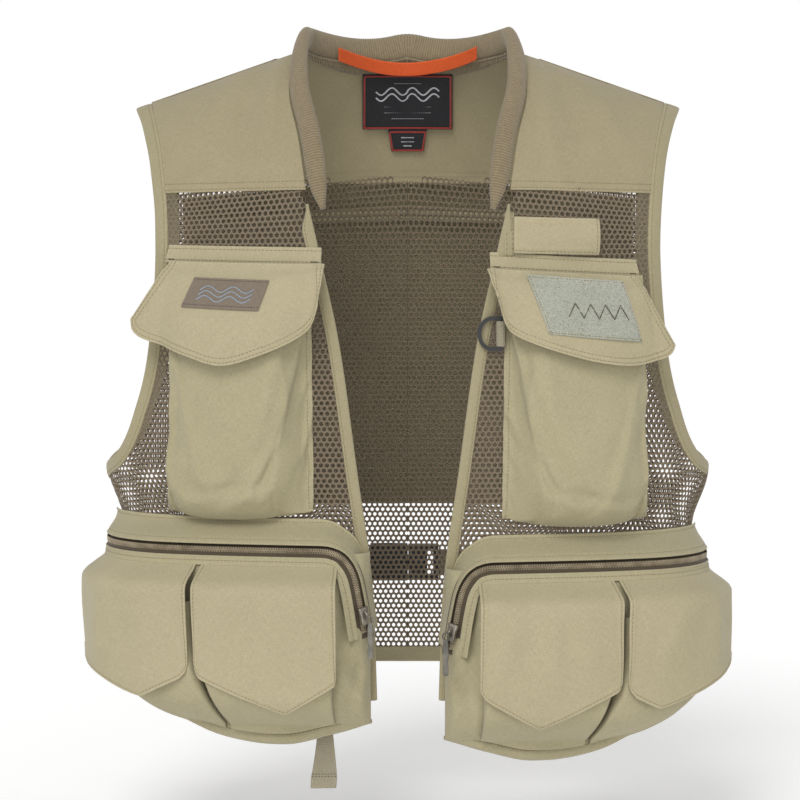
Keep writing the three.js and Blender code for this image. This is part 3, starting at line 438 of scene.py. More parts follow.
def shell_arrays(points, thick, outward=None, wrap=0.35):
    """Closed shell below a grid: outer face, inner face thick below it, and a rim ring half way
    down that stands out by wrap times thick. Returns points, quads, uv and rim distance."""
    nu, nv = points.shape[:2]
    normal = grid_normals(points)
    if outward is None:
        outward = form_direction(points)
    if (normal * outward).sum(-1).mean() < 0:
        points, normal = points[::-1], -normal[::-1]
    inner = points - normal * np.broadcast_to(thick, (nu, nv))[..., None]
    lengths_u, lengths_v = grid_lengths(points, 0), grid_lengths(points, 1)
    uv = np.stack(np.meshgrid(lengths_u, lengths_v, indexing="ij"), -1)
    near_u = np.minimum(lengths_u, lengths_u[-1] - lengths_u)[:, None]
    near_v = np.minimum(lengths_v, lengths_v[-1] - lengths_v)[None, :]
    rim = np.minimum(near_u, near_v)
    i, j = np.arange(nu), np.arange(nv)
    ring = np.concatenate([
        i * nv,
        (nu - 1) * nv + j[1:],
        i[::-1][1:] * nv + nv - 1,
        j[::-1][1:-1],
    ])
    flat_outer, flat_inner = points.reshape(-1, 3), inner.reshape(-1, 3)
    ring_outer, ring_inner = flat_outer[ring], flat_inner[ring]
    tangent = unit(np.roll(ring_outer, -1, 0) - np.roll(ring_outer, 1, 0))
    side = unit(np.cross(tangent, normal.reshape(-1, 3)[ring]))
    widths = np.linalg.norm(ring_outer - ring_inner, axis=-1, keepdims=True)
    middle = (ring_outer + ring_inner) / 2 + side * widths * wrap
    count = nu * nv
    rows = len(ring)
    all_points = np.concatenate([flat_outer, flat_inner, middle])
    outer_quads = grid_quads(nu, nv)
    inner_quads = grid_quads(nu, nv, count)[:, ::-1]
    following = np.roll(np.arange(rows), -1)
    a, b = ring, ring[following]
    m, n = 2 * count + np.arange(rows), 2 * count + following
    fold = np.concatenate([
        np.stack([b, a, m, n], -1),
        np.stack([n, m, a + count, b + count], -1),
    ])
    quads = np.concatenate([outer_quads, inner_quads, fold])
    all_uv = np.concatenate([uv.reshape(-1, 2), uv.reshape(-1, 2), uv.reshape(-1, 2)[ring]])
    all_rim = np.concatenate([rim.ravel(), rim.ravel(), np.zeros(rows)])
    return all_points, quads, all_uv, all_rim


def form_direction(points):
    """Outward from the trunk's upright axis, and upward where the shoulders arch over."""
    away = points * np.array([1.0, 1.0, 0.0])
    over = np.clip(points[..., 2:] - SPRING_Z, 0, None) * np.array([0, 0, 1.0])
    return unit(away + over)


def shell(name, points, thick, material, outward=None, wrap=0.35):
    """The shell of a grid as an object."""
    made, quads, uv, rim = shell_arrays(points, thick, outward, wrap)
    return make_object(name, made, quads, uv=uv, rim=rim, material=material)


def tube_arrays(rings):
    """A closed tube through rings of points, of shape rows by sides by 3, with a point in each
    end. The faces turn outward if each ring runs left-handed round the way forward."""
    rows, sides = rings.shape[:2]
    centres = rings.mean(axis=1)
    points = np.concatenate([rings.reshape(-1, 3), centres[:1], centres[-1:]])
    quads = grid_quads(rows, sides + 1)
    i, j = np.divmod(quads, sides + 1)
    quads = i * sides + j % sides
    k = np.arange(sides)
    after = (k + 1) % sides
    first, last = rows * sides, rows * sides + 1
    head = np.stack([np.full(sides, first), k, after], -1)
    foot = np.stack([np.full(sides, last), (rows - 1) * sides + after, (rows - 1) * sides + k], -1)
    volume = signed_volume(points, quads)
    if volume < 0:
        quads, head, foot = quads[:, ::-1], head[:, ::-1], foot[:, ::-1]
    along = np.concatenate([[0], np.cumsum(np.linalg.norm(np.diff(centres, axis=0), axis=-1))])
    round_it = np.arange(sides) * np.linalg.norm(np.diff(rings, axis=1), axis=-1).mean()
    uv = np.stack(np.meshgrid(along, round_it, indexing="ij"), -1).reshape(-1, 2)
    uv = np.concatenate([uv, [[along[0], 0], [along[-1], 0]]])
    return points, quads, np.concatenate([head, foot]), uv


def signed_volume(points, quads):
    """Six times the volume is the sum over triangles of a . (b x c)."""
    a, b, c, d = (points[quads[:, k]] for k in range(4))
    return float((a * np.cross(b, c)).sum() + (a * np.cross(c, d)).sum()) / 6


def copies(base, quads, centres, frames):
    """One small shape set down many times: point = centre + frame (rows are its axes) . base."""
    points = centres[:, None, :] + np.einsum("kc,ncd->nkd", base, frames)
    faces = quads[None] + (np.arange(len(centres)) * len(base))[:, None, None]
    return points.reshape(-1, 3), faces.reshape(-1, quads.shape[1])


def even_path(points, pitch, inset=0.0):
    """Points spaced evenly along a path, with the direction of the path at each."""
    steps = np.linalg.norm(np.diff(points, axis=0), axis=-1)
    run = np.concatenate([[0], np.cumsum(steps)])
    count = max(int((run[-1] - 2 * inset) / pitch), 2)
    at = np.linspace(inset, run[-1] - inset, count)

    def read(s):
        return np.stack([np.interp(s, run, points[:, k]) for k in range(3)], -1)

    return read(at), unit(read(at + 0.4) - read(at - 0.4))


def spread(length, fine=0.7, coarse=3.0, border=9.0):
    """Shares 0..1 for a grid line of that length: fine steps near both ends, coarse between."""
    edge = np.arange(0, min(border, length / 2), fine)
    inner_length = length - 2 * edge[-1]
    coarse_steps = max(int(inner_length / coarse), 2)
    inside = edge[-1] + np.linspace(0, 1, coarse_steps + 1)[1:-1] * inner_length
    return np.concatenate([edge, inside, (length - edge)[::-1]]) / length


# %% [markdown]
# ## Wrinkles
# Cloth that hangs free shows long soft creases where it is pulled and a gentle unevenness
# everywhere. Both are added to the lift of a panel before it is made: a crease is a ridge along a
# straight line that fades at its ends, and the unevenness a sum of waves whose directions come
# from a seeded generator, so that every run is the same.

# %% Creases and waves
def crease(x, y, start, end, width, height):
    """height exp(-(distance / width)^2), faded by a sine along the line from start to end."""
    a, b = np.array(start, float), np.array(end, float)
    run = b - a
    length = np.linalg.norm(run)
    along = ((x - a[0]) * run[0] + (y - a[1]) * run[1]) / length**2
    across = ((x - a[0]) * run[1] - (y - a[1]) * run[0]) / length
    return height * np.exp(-((across / width) ** 2)) * np.sin(np.pi * clamp01(along)) ** 1.2


def waves(x, y, seed, size, height, count=7):
    """Sum of sine waves of about one size in seeded directions, divided by the root of count."""
    draw = np.random.default_rng(seed)
    total = np.zeros(np.broadcast(x, y).shape)
    for _ in range(count):
        turn, phase = draw.uniform(0, 2 * np.pi, 2)
        length = size * draw.uniform(0.6, 1.5)
        total += np.sin(2 * np.pi * (x * np.cos(turn) + y * np.sin(turn)) / length + phase)
    return height * total / math.sqrt(count)


def hem_profile(distance, fold=6.5, rise=0.55, rows=(1.8, 5.6), groove=0.38):
    """Height of a turned hem: the fold's thickness, less a groove under each row of stitches."""
    height = rise * (1 - smooth_step((distance - fold) / 1.6))
    for row in rows:
        height = height - groove * np.exp(-(((distance - row) / 0.75) ** 2))
    return height


# %% [markdown]
# ## Finishes
# Nylon cloth shows a fine plain weave and tiny slubs. Its folded edges are painted lighter, partly
# as wear and partly as a painted highlight where the edge catches the light, and the gaps of the
# weave are painted darker, as painted shade between the threads. These effects are needed by
# nearly every cloth here, so they are shader node groups, built once, and each material sets its
# own values on them.

# %% Node helpers
def node_group(name, ins, outs):
    """An empty shader group with named inputs (name, kind, default) and outputs (name, kind)."""
    tree = bpy.data.node_groups.new(name, "ShaderNodeTree")
    for label, kind, default in ins:
        socket = tree.interface.new_socket(label, in_out="INPUT", socket_type=kind)
        if default is not None:
            socket.default_value = default
    for label, kind in outs:
        tree.interface.new_socket(label, in_out="OUTPUT", socket_type=kind)
    return tree, tree.nodes.new("NodeGroupInput"), tree.nodes.new("NodeGroupOutput")


def math_node(tree, operation, a, b=None, c=None):
    """A Math node whose inputs are sockets or numbers; returns its output."""
    node = tree.nodes.new("ShaderNodeMath")
    node.operation = operation
    for k, value in enumerate((a, b, c)):
        if value is None:
            continue
        if isinstance(value, (int, float)):
            node.inputs[k].default_value = value
        else:
            tree.links.new(value, node.inputs[k])
    return node.outputs[0]


def noise_node(tree, vector, scale, detail=3.0, rough=0.55):
    """Adds a noise texture; the scale is a number or a socket."""
    node = tree.nodes.new("ShaderNodeTexNoise")
    node.inputs["Detail"].default_value = detail
    node.inputs["Roughness"].default_value = rough
    tree.links.new(vector, node.inputs["Vector"])
    if isinstance(scale, (int, float)):
        node.inputs["Scale"].default_value = scale
    else:
        tree.links.new(scale, node.inputs["Scale"])
    return node.outputs["Fac"]


def map_node(tree, value, from_low, from_high, to_low, to_high):
    """Adds a node that maps one range of numbers onto another."""
    node = tree.nodes.new("ShaderNodeMapRange")
    tree.links.new(value, node.inputs["Value"])
    for label, number in zip(("From Min", "From Max", "To Min", "To Max"),
                             (from_low, from_high, to_low, to_high)):
        node.inputs[label].default_value = number
    return node.outputs["Result"]


# %% Group: plain weave
def build_weave_group():
    tree, given, result = node_group(
        "plain_weave",
        [("Threads", "NodeSocketVector", None), ("Pitch", "NodeSocketFloat", 0.0006)],
        [("Height", "NodeSocketFloat"), ("Gap", "NodeSocketFloat")],
    )
    split = tree.nodes.new("ShaderNodeSeparateXYZ")
    tree.links.new(given.outputs["Threads"], split.inputs[0])
    turns = math_node(tree, "DIVIDE", math.pi, given.outputs["Pitch"])
    u = math_node(tree, "SINE", math_node(tree, "MULTIPLY", split.outputs["X"], turns))
    v = math_node(tree, "SINE", math_node(tree, "MULTIPLY", split.outputs["Y"], turns))
    product = math_node(tree, "MULTIPLY", u, v)
    over = math_node(tree, "MULTIPLY_ADD", product, 0.5, 0.5)
    height_u = math_node(tree, "MULTIPLY", math_node(tree, "ABSOLUTE", u), over)
    under = math_node(tree, "SUBTRACT", 1.0, over)
    height_v = math_node(tree, "MULTIPLY", math_node(tree, "ABSOLUTE", v), under)
    height = math_node(tree, "ADD", height_u, height_v)
    tree.links.new(height, result.inputs["Height"])
    # Gap is high between the threads; the cloth material paints it darker as painted shade.
    gap = math_node(tree, "SUBTRACT", 1.0, height)
    tree.links.new(gap, result.inputs["Gap"])
    return tree


# %% Group: cloth tone
def build_tone_group():
    """A tone about 0.5: slubs at thread size, streaks along both threads, and slow changes."""
    tree, given, result = node_group(
        "cloth_tone",
        [
            ("Threads", "NodeSocketVector", None),
            ("Place", "NodeSocketVector", None),
            ("Slub", "NodeSocketFloat", 0.5),
            ("Drift", "NodeSocketFloat", 0.5),
        ],
        [("Tone", "NodeSocketFloat"), ("Fuzz", "NodeSocketFloat")],
    )
    streaked = []
    for stretch in ((1900.0, 260.0, 1.0), (260.0, 1900.0, 1.0)):
        scaled = tree.nodes.new("ShaderNodeVectorMath")
        scaled.operation = "MULTIPLY"
        scaled.inputs[1].default_value = stretch
        tree.links.new(given.outputs["Threads"], scaled.inputs[0])
        streaked.append(noise_node(tree, scaled.outputs[0], 1.0, 2.0))
    slub = math_node(tree, "ADD", streaked[0], streaked[1])
    slub = math_node(tree, "SUBTRACT", slub, 1.0)
    slub = math_node(tree, "MULTIPLY", slub, given.outputs["Slub"])
    slow = noise_node(tree, given.outputs["Place"], 14.0, 2.0)
    middle = noise_node(tree, given.outputs["Place"], 70.0, 3.0)
    drift = math_node(tree, "SUBTRACT", math_node(tree, "ADD", slow, middle), 1.0)
    drift = math_node(tree, "MULTIPLY", drift, given.outputs["Drift"])
    tone = math_node(tree, "ADD", math_node(tree, "ADD", slub, drift), 0.5)
    tree.links.new(tone, result.inputs["Tone"])
    fuzz = noise_node(tree, given.outputs["Place"], 2600.0, 2.0)
    tree.links.new(fuzz, result.inputs["Fuzz"])
    return tree


# %% Group: rim wear and painted highlight
def build_rim_group():
    """Lightening of a folded edge, partly wear and partly painted highlight: 1 at the folded edge
    of a piece, falling to 0 inward over a width, broken up by noise.
    """
    tree, given, result = node_group(
        "rim_wear_and_painted_highlight",
        [
            ("Distance", "NodeSocketFloat", 9.0),
            ("Place", "NodeSocketVector", None),
            ("Width", "NodeSocketFloat", 1.5),
        ],
        [("WearAndHighlight", "NodeSocketFloat")],
    )
    share = math_node(tree, "DIVIDE", given.outputs["Distance"], given.outputs["Width"])
    near = math_node(tree, "SUBTRACT", 1.0, share)
    near = math_node(tree, "MAXIMUM", near, 0.0)
    broken = noise_node(tree, given.outputs["Place"], 300.0, 3.0)
    wear_and_highlight = math_node(tree, "MULTIPLY", near, map_node(tree, broken, 0.35, 0.65, 0.3, 1.0))
    tree.links.new(wear_and_highlight, result.inputs["WearAndHighlight"])
    return tree


WEAVE_GROUP = build_weave_group()
TONE_GROUP = build_tone_group()
RIM_GROUP = build_rim_group()


# %% Cloth materials
def srgb(code):
    """A colour written as six hexadecimal digits, made linear."""
    parts = np.array([int(code[k : k + 2], 16) for k in (0, 2, 4)]) / 255
    linear = np.where(parts <= 0.04045, parts / 12.92, ((parts + 0.055) / 1.055) ** 2.4)
    return (*[float(v) for v in linear], 1.0)


def group_node(tree, group, **values):
    """A group placed in a material, with the values of its inputs."""
    node = tree.nodes.new("ShaderNodeGroup")
    node.node_tree = group
    for label, value in values.items():
        if isinstance(value, bpy.types.NodeSocket):
            tree.links.new(value, node.inputs[label])
        else:
            node.inputs[label].default_value = value
    return node


def cloth_material(name, dark, light, pitch=0.0007, slub=0.9, drift=0.2, rough=0.85, bump=0.25,
                   sheen=0.15, wear_and_highlight=0.25, fuzz=0.15):
    """Woven cloth: tone mixes the dark and the light colour, and weave and fuzz lift the normal."""
    material = bpy.data.materials.new(name)
    material.use_nodes = True
    tree = material.node_tree
    shader = tree.nodes["Principled BSDF"]
    spot = tree.nodes.new("ShaderNodeTexCoord")
    rim = tree.nodes.new("ShaderNodeAttribute")
    rim.attribute_name = "rim"
    weave = group_node(tree, WEAVE_GROUP, Threads=spot.outputs["UV"], Pitch=pitch)
    tone = group_node(tree, TONE_GROUP, Threads=spot.outputs["UV"], Place=spot.outputs["Object"],
                      Slub=slub, Drift=drift)
    wear_and_highlight_rim = group_node(tree, RIM_GROUP, Distance=rim.outputs["Fac"], Place=spot.outputs["Object"],
                      Width=1.4)
    blend = tree.nodes.new("ShaderNodeMix")
    blend.data_type = "RGBA"
    blend.inputs["A"].default_value = srgb(dark)
    blend.inputs["B"].default_value = srgb(light)
    # Gaps of the weave painted darker: painted shade between the threads.
    shade = math_node(tree, "MULTIPLY_ADD", weave.outputs["Gap"], -0.25, tone.outputs["Tone"])
    shade = math_node(tree, "ADD", shade, 0.1)
    # Folded edges painted lighter: partly wear, partly a painted highlight where the edge catches
    # the light.
    shade = math_node(tree, "MULTIPLY_ADD", wear_and_highlight_rim.outputs["WearAndHighlight"], wear_and_highlight, shade)
    tree.links.new(shade, blend.inputs["Factor"])
    tree.links.new(blend.outputs["Result"], shader.inputs["Base Color"])
    roughness = map_node(tree, tone.outputs["Tone"], 0.0, 1.0, min(rough + 0.08, 1.0), rough - 0.08)
    tree.links.new(roughness, shader.inputs["Roughness"])
    height = math_node(tree, "MULTIPLY_ADD", tone.outputs["Fuzz"], fuzz, weave.outputs["Height"])
    lift = tree.nodes.new("ShaderNodeBump")
    lift.inputs["Strength"].default_value = bump
    lift.inputs["Distance"].default_value = pitch * 0.4
    tree.links.new(height, lift.inputs["Height"])
    tree.links.new(lift.outputs["Normal"], shader.inputs["Normal"])
    shader.inputs["Sheen Weight"].default_value = sheen
    shader.inputs["Sheen Roughness"].default_value = 0.5
    shader.inputs["Specular IOR Level"].default_value = 0.25
    return material


# Each cloth's folded edges, and the knit's rib crests, are painted lighter by its rim value: partly
# wear and partly painted highlight.
TAN = cloth_material("tan_nylon", "8e8669", "b1a889")
FLAP_TAN = cloth_material("flap_nylon", "938a6e", "b6ac8d")
YOKE_TAN = cloth_material("yoke_nylon", "857b60", "a69b7d")
TAPE_TAN = cloth_material("binding_tape", "857c61", "a9a081", pitch=0.0009, slub=0.7)
KNIT = cloth_material("rib_knit", "655a45", "8a7c62", pitch=0.0006, slub=1.1, fuzz=0.7, sheen=0.3,
                      wear_and_highlight=0.9)
NET = cloth_material("net_yarn", "5c5142", "8a7b66", pitch=0.0005, slub=0.8, fuzz=0.6, rough=0.8,
                     wear_and_highlight=0.0)
ORANGE = cloth_material("orange_ribbon", "b8431a", "e0632c", pitch=0.0008, rough=0.6, sheen=0.1)
THREAD = cloth_material("tan_thread", "7d7152", "9a8d6b", pitch=0.0004, wear_and_highlight=0.0, slub=0.5)
DARK_THREAD = cloth_material("dark_thread", "3b352b", "544b3c", pitch=0.0004, wear_and_highlight=0.0, slub=0.5)
LABEL_BLACK = cloth_material("label_black", "141416", "2c2d31", pitch=0.0004, rough=0.65)
LABEL_BROWN = cloth_material("label_brown", "62574a", "83776a", pitch=0.0005, rough=0.8)
LABEL_SILVER = cloth_material("label_silver", "9a9ca1", "cfd1d3", pitch=0.0004, rough=0.5)
LABEL_BLUE = cloth_material("label_blue", "77808c", "a1a9b2", pitch=0.0004, rough=0.6)
MERROW_RED = cloth_material("merrow_red", "7c2019", "b03a2c", pitch=0.0005, rough=0.6, sheen=0.2)
FLEECE = cloth_material("patch_fleece", "9fa291", "cccdbb", pitch=0.0022, slub=1.6, drift=0.5,
                        rough=0.95, bump=0.8, fuzz=2.0, sheen=0.5, wear_and_highlight=0.0)
HOOK = cloth_material("hook_strip", "79705a", "9c9278", pitch=0.0016, bump=0.9, fuzz=1.0)
WEBBING = cloth_material("tan_webbing", "817a66", "a39b86", pitch=0.0018, bump=0.7, slub=0.7)
ZIP_TAPE = cloth_material("zip_tape", "3a3126", "544938", pitch=0.0006, rough=0.8)


# %% Hard finishes
def hard_material(
    name, dark, light, metallic=0.0, rough=0.4, grain=900.0, bump=0.08, wear_rough=0.12
):
    """Moulded plastic or cast metal: fine grain in the surface, gloss that varies in patches."""
    material = bpy.data.materials.new(name)
    material.use_nodes = True
    tree = material.node_tree
    shader = tree.nodes["Principled BSDF"]
    spot = tree.nodes.new("ShaderNodeTexCoord")
    fine = noise_node(tree, spot.outputs["Object"], grain, 3.0)
    broad = noise_node(tree, spot.outputs["Object"], 90.0, 4.0)
    blend = tree.nodes.new("ShaderNodeMix")
    blend.data_type = "RGBA"
    blend.inputs["A"].default_value = srgb(dark)
    blend.inputs["B"].default_value = srgb(light)
    tree.links.new(map_node(tree, broad, 0.35, 0.65, 0.0, 1.0), blend.inputs["Factor"])
    tree.links.new(blend.outputs["Result"], shader.inputs["Base Color"])
    tree.links.new(map_node(tree, broad, 0.3, 0.7, rough - wear_rough, rough + wear_rough),
                   shader.inputs["Roughness"])
    shader.inputs["Metallic"].default_value = metallic
    lift = tree.nodes.new("ShaderNodeBump")
    lift.inputs["Strength"].default_value = bump
    lift.inputs["Distance"].default_value = 0.0002
    tree.links.new(fine, lift.inputs["Height"])
    tree.links.new(lift.outputs["Normal"], shader.inputs["Normal"])
    return material


PLASTIC = hard_material("black_plastic", "131415", "232426", rough=0.42)
COIL = hard_material("zip_coil", "7d7059", "a3957b", rough=0.45, bump=0.02)
METAL = hard_material("aged_metal", "6f6a62", "a39d92", metallic=0.9, rough=0.38)
PULL = hard_material("pull_tab", "4d4a42", "77736a", rough=0.5)
print("finishes made:", len(bpy.data.materials))

# %% [markdown]
# ## Stitches
# Every edge of the vest is topstitched, mostly with two rows. A stitch is a small spindle that
# lies on the cloth, two or three millimetres long. The rows are collected while the pieces are
# made, and each body of the frame then gets one piece with all the stitches that move with it.

# %% Collecting stitches
stitch_rows = {}
STITCH_RING = [(-0.3, 1, 0), (-0.3, 0, 1), (-0.3, -1, 0), (-0.3, 0, -1)]


def spindle(length, radius, flat=0.7):
    """Two rings of four points and two tips; the second across axis is pressed flat."""
    ring = np.array(STITCH_RING) * [length, radius, radius * flat]
    tips = np.array([[-length / 2, 0, 0], [length / 2, 0, 0]])
    points = np.concatenate([ring, ring * [-1, 1, 1], tips])
    k = np.arange(4)
    n = (k + 1) % 4
    body = np.stack([k, k + 4, n + 4, n], -1)
    head = np.stack([np.full(4, 8), k, n, np.full(4, 8)], -1)
    foot = np.stack([np.full(4, 9), n + 4, k + 4, np.full(4, 9)], -1)
    return points, body, np.concatenate([head[:, :3], foot[:, :3]])


def sew(body, path, normals, thread=None, pitch=3.1, length=2.5, radius=0.33, inset=1.0, sink=0.05):
    """A row of stitches along a path of points on the cloth, whose normals face outward."""
    centres, forward = even_path(path, pitch, inset)
    run = np.linspace(0, 1, len(path))
    share = np.linspace(0, 1, len(centres))
    up = unit(np.stack([np.interp(share, run, normals[:, k]) for k in range(3)], -1))
    across = unit(np.cross(up, forward))
    up = np.cross(forward, across)
    base, quads, triangles = spindle(length, radius)
    frames = np.stack([forward, across, up], 1)
    centres = centres + up * (radius * 0.35 - sink)
    points, made_quads = copies(base, quads, centres, frames)
    _, made_triangles = copies(base, triangles, centres, frames)
    stitch_rows.setdefault((body, thread or "tan"), []).append((points, made_quads, made_triangles))


def sew_grid(body, points, where, thread=None, **settings):
    """Stitches along a line of grid indices: where = ("u", i) follows v at row i, and so on."""
    normal = grid_normals(points)
    if (normal * form_direction(points)).sum(-1).mean() < 0:
        normal = -normal
    for kind, index, *part in where:
        path = points[index] if kind == "u" else points[:, index]
        up = normal[index] if kind == "u" else normal[:, index]
        if part:
            keep = slice(*part)
            path, up = path[keep], up[keep]
        sew(body, path, up, thread, **settings)


def nearest(shares, length, distance):
    """Index of the grid line that lies nearest to a distance from the first edge."""
    return int(np.argmin(np.abs(np.asarray(shares) * length - distance)))


def join_parts(parts):
    """Several (points, quads, triangles) as one."""
    points, quads, triangles, start = [], [], [], 0
    for p, q, t in parts:
        points.append(p)
        quads.append(np.asarray(q).reshape(-1, 4) + start)
        triangles.append(np.asarray(t).reshape(-1, 3) + start)
        start += len(p)
    return np.concatenate(points), np.concatenate(quads), np.concatenate(triangles)


# %% [markdown]
# ## Cloth that is simulated
# A pocket's pouch is a loose bag: sewn down along its edges, it bellies out between them and
# puckers along the seams, which is hard to draw by hand. So the analytic shape of the bag is cut
# a few per cent too large, pinned along its border and blown out gently by Blender's cloth, and
# the result is frozen into the grid. No point may move further than a cap, so that a pouch can't
# reach through the flap over it.

# %% A simulated bag
def billow(points, pinned, pressure, grow, cap, frames=18):
    """Blender's cloth run on a grid that is cut larger by grow and blown out by pressure; the move
    of each point is cap tanh(move / cap), so that none goes further than cap."""
    nu, nv = points.shape[:2]
    quads = grid_quads(nu, nv)
    if (grid_normals(points) * form_direction(points)).sum(-1).mean() < 0:
        quads = quads[:, ::-1]
    bag = make_object("bag_on_trial", points.reshape(-1, 3), quads)
    pins = bag.vertex_groups.new(name="pins")
    pins.add(np.flatnonzero(pinned).tolist(), 1.0, "REPLACE")
    cloth = bag.modifiers.new("cloth", "CLOTH")
    made = cloth.settings
    made.quality = 5
    made.mass = 0.12
    made.tension_stiffness = 12
    made.compression_stiffness = 12
    made.shear_stiffness = 4
    made.bending_stiffness = 0.3
    made.vertex_group_mass = "pins"
    made.use_pressure = True
    made.uniform_pressure_force = pressure
    made.shrink_min = -grow
    made.effector_weights.gravity = 0.25
    cloth.collision_settings.use_collision = False
    cloth.collision_settings.use_self_collision = False
    cloth.point_cache.frame_start = 1
    cloth.point_cache.frame_end = frames
    for step in range(1, frames + 1):
        scene.frame_set(step)
    posed = bag.evaluated_get(bpy.context.evaluated_depsgraph_get())
    after = np.zeros(nu * nv * 3, np.float32)
    posed.data.vertices.foreach_get("co", after)
    scene.frame_set(1)
    mesh = bag.data
    bpy.data.objects.remove(bag)
    bpy.data.meshes.remove(mesh)
    moved = after.reshape(nu, nv, 3) / MM - points
    far = np.linalg.norm(moved, axis=-1, keepdims=True)
    held = moved * (cap * np.tanh(far / cap)) / np.maximum(far, 1e-6)
    print("  bag moved by", round(float(far.mean()), 2), "mm, at most", round(float(far.max()), 1))
    return points + held


def border_pins(nu, nv):
    """1 along a grid's border, where the cloth is sewn down, and 0 inside."""
    pins = np.ones((nu, nv))
    pins[1:-1, 1:-1] = 0
    return pins


# %% [markdown]
# ## The net
# The body of the vest is a warp-knit net with hexagonal holes, a little under five millimetres
# apart. Painted holes would look flat from the side, so the holes are real: each cell is a
# ring that rises from the hole's edge to a ridge it shares with its six neighbours. The cells lie
# on a plane of arc length and level, and the plane is then laid on the trunk.

# %% Arc length round the trunk
angles = np.linspace(0, 180, 721)
around = on_form(angles, -150.0)
arc_table = np.concatenate([[0], np.cumsum(np.linalg.norm(np.diff(around, axis=0), axis=-1))])


def phi_of_arc(s):
    """Angle at arc length s from the middle of the front, at chest height."""
    return np.interp(s, arc_table, angles)


# %% Hexagonal cells
NET_PITCH = 4.7
NET_HOLE = 1.62
NET_HALF = 0.42


def hex_net(name, keep, arc_range, level_range, lift):
    """Honeycomb of cells whose centres pass keep(phi, level). Cell corners on the shared ridge
    exist twice, above and below; the hole's corners lie between them. 12 quads a cell."""
    rise = NET_PITCH * math.sqrt(3) / 2
    radius = NET_PITCH / math.sqrt(3)
    columns = np.arange(int(arc_range[0] / NET_PITCH) - 1, int(arc_range[1] / NET_PITCH) + 2)
    rows = np.arange(int(level_range[0] / rise) - 1, int(level_range[1] / rise) + 2)
    i, j = (a.ravel() for a in np.meshgrid(columns, rows, indexing="ij"))
    across = 2 * i + (j % 2)
    centre_s, centre_l = across * NET_PITCH / 2, j * rise
    inside = keep(phi_of_arc(np.clip(centre_s, 0, arc_table[-1])), centre_l)
    across, j, centre_s, centre_l = across[inside], j[inside], centre_s[inside], centre_l[inside]
    corner_a = np.array([1, 0, -1, -1, 0, 1])
    corner_b = np.array([1, 2, 1, -1, -2, -1])
    keys = np.stack([across[:, None] + corner_a, 3 * j[:, None] + corner_b], -1).reshape(-1, 2)
    unique, index = np.unique(keys, axis=0, return_inverse=True)
    index = index.reshape(-1, 6)
    ridge_s, ridge_l = unique[:, 0] * NET_PITCH / 2, unique[:, 1] * radius / 2
    share = NET_HOLE / radius
    hole_s = centre_s[:, None] + corner_a * NET_PITCH / 2 * share
    hole_l = centre_l[:, None] + corner_b * radius / 2 * share
    s = np.concatenate([ridge_s, ridge_s, hole_s.ravel()])
    level = np.concatenate([ridge_l, ridge_l, hole_l.ravel()])
    bump = np.concatenate([
        np.full(len(unique), NET_HALF), np.full(len(unique), -NET_HALF), np.zeros(hole_s.size),
    ])
    phi = phi_of_arc(np.clip(s, 0, arc_table[-1]))
    points = place(phi, level, bump + lift(phi, level))
    count = len(unique)
    hole = 2 * count + np.arange(hole_s.size).reshape(-1, 6)
    following = np.roll(index, -1, axis=1)
    hole_next = np.roll(hole, -1, axis=1)
    top = np.stack([index, following, hole_next, hole], -1).reshape(-1, 4)
    bottom = np.stack([following, index, hole, hole_next], -1).reshape(-1, 4)
    bottom = np.where(bottom < count, bottom + count, bottom)
    edges = np.stack([index, following], -1).reshape(-1, 2)
    ordered = np.sort(edges, axis=1)
    _, first, times = np.unique(ordered, axis=0, return_index=True, return_counts=True)
    border = edges[first[times == 1]]
    sides = np.stack([border[:, 1], border[:, 0], border[:, 0] + count, border[:, 1] + count], -1)
    quads = np.concatenate([top, bottom, sides])
    uv = np.stack([s, level], -1)
    print(" ", name, "cells", len(hole), "triangles", 2 * len(quads))
    return points, quads, uv


def net_object(name, keep, arc_range, level_range, lift, side):
    """One panel of net; the right side is the mirror image of the left."""
    points, quads, uv = hex_net(name, keep, arc_range, level_range, lift)
    if side == RIGHT:
        points = points * [-1, 1, 1]
        quads = quads[:, ::-1]
    return make_object(name, points, quads, uv=uv, rim=FAR_FROM_RIM, material=NET)


# %% Front nets
arm_levels = np.linspace(UNDERARM_LEVEL, 60, 200)
arm_angles = armhole_phi(arm_levels, 5.0)


def net_waves(side):
    """Soft vertical pleats at the side, slanting creases on the chest band, slow waves."""

    def lift(phi, level):
        arc = np.interp(phi, angles, arc_table)
        pleat = 2.2 * np.sin(arc / 9.5) * smooth_step((phi - 62) / 14)
        pleat = pleat * smooth_step(-(level + 190) / 60)
        slant = crease(arc, level, (150, 30), (230, -20), 4.5, 2.0)
        slant = slant + crease(arc, level, (185, 40), (250, 5), 4, 1.8)
        edge = np.where(level > UNDERARM_LEVEL, np.interp(level, arm_levels, arm_angles), 99.0)
        still = smooth_step((edge - phi) / 7 - 0.15)
        return (pleat + slant + waves(arc, level, 3 + side, 90, 0.8)) * still - 0.3

    return lift


def front_keep(phi, level):
    """True inside a front net: edge < phi < armhole, hem < level < yoke."""
    edge = front_edge_phi(level, 4.0)
    outer = np.where(level > UNDERARM_LEVEL, np.interp(level, arm_levels, arm_angles), 89.9)
    top = level_at(YOKE_HEM_Z, 120) + 4 + 6 * smooth_step((edge + 10 - phi) / 4)
    return (phi > edge) & (phi < outer) & (level < top) & (level > NET_FOOT_LEVEL)


print("front nets")
for side in (RIGHT, LEFT):
    net = net_object(f"net_front_{SIDE_NAME[side]}", front_keep, (0, arc_table[-1] / 2 + 8),
                     (-345, 65), net_waves(side), side)
    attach(net, "vest_body")
    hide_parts(f"front_net_{SIDE_NAME[side]}")

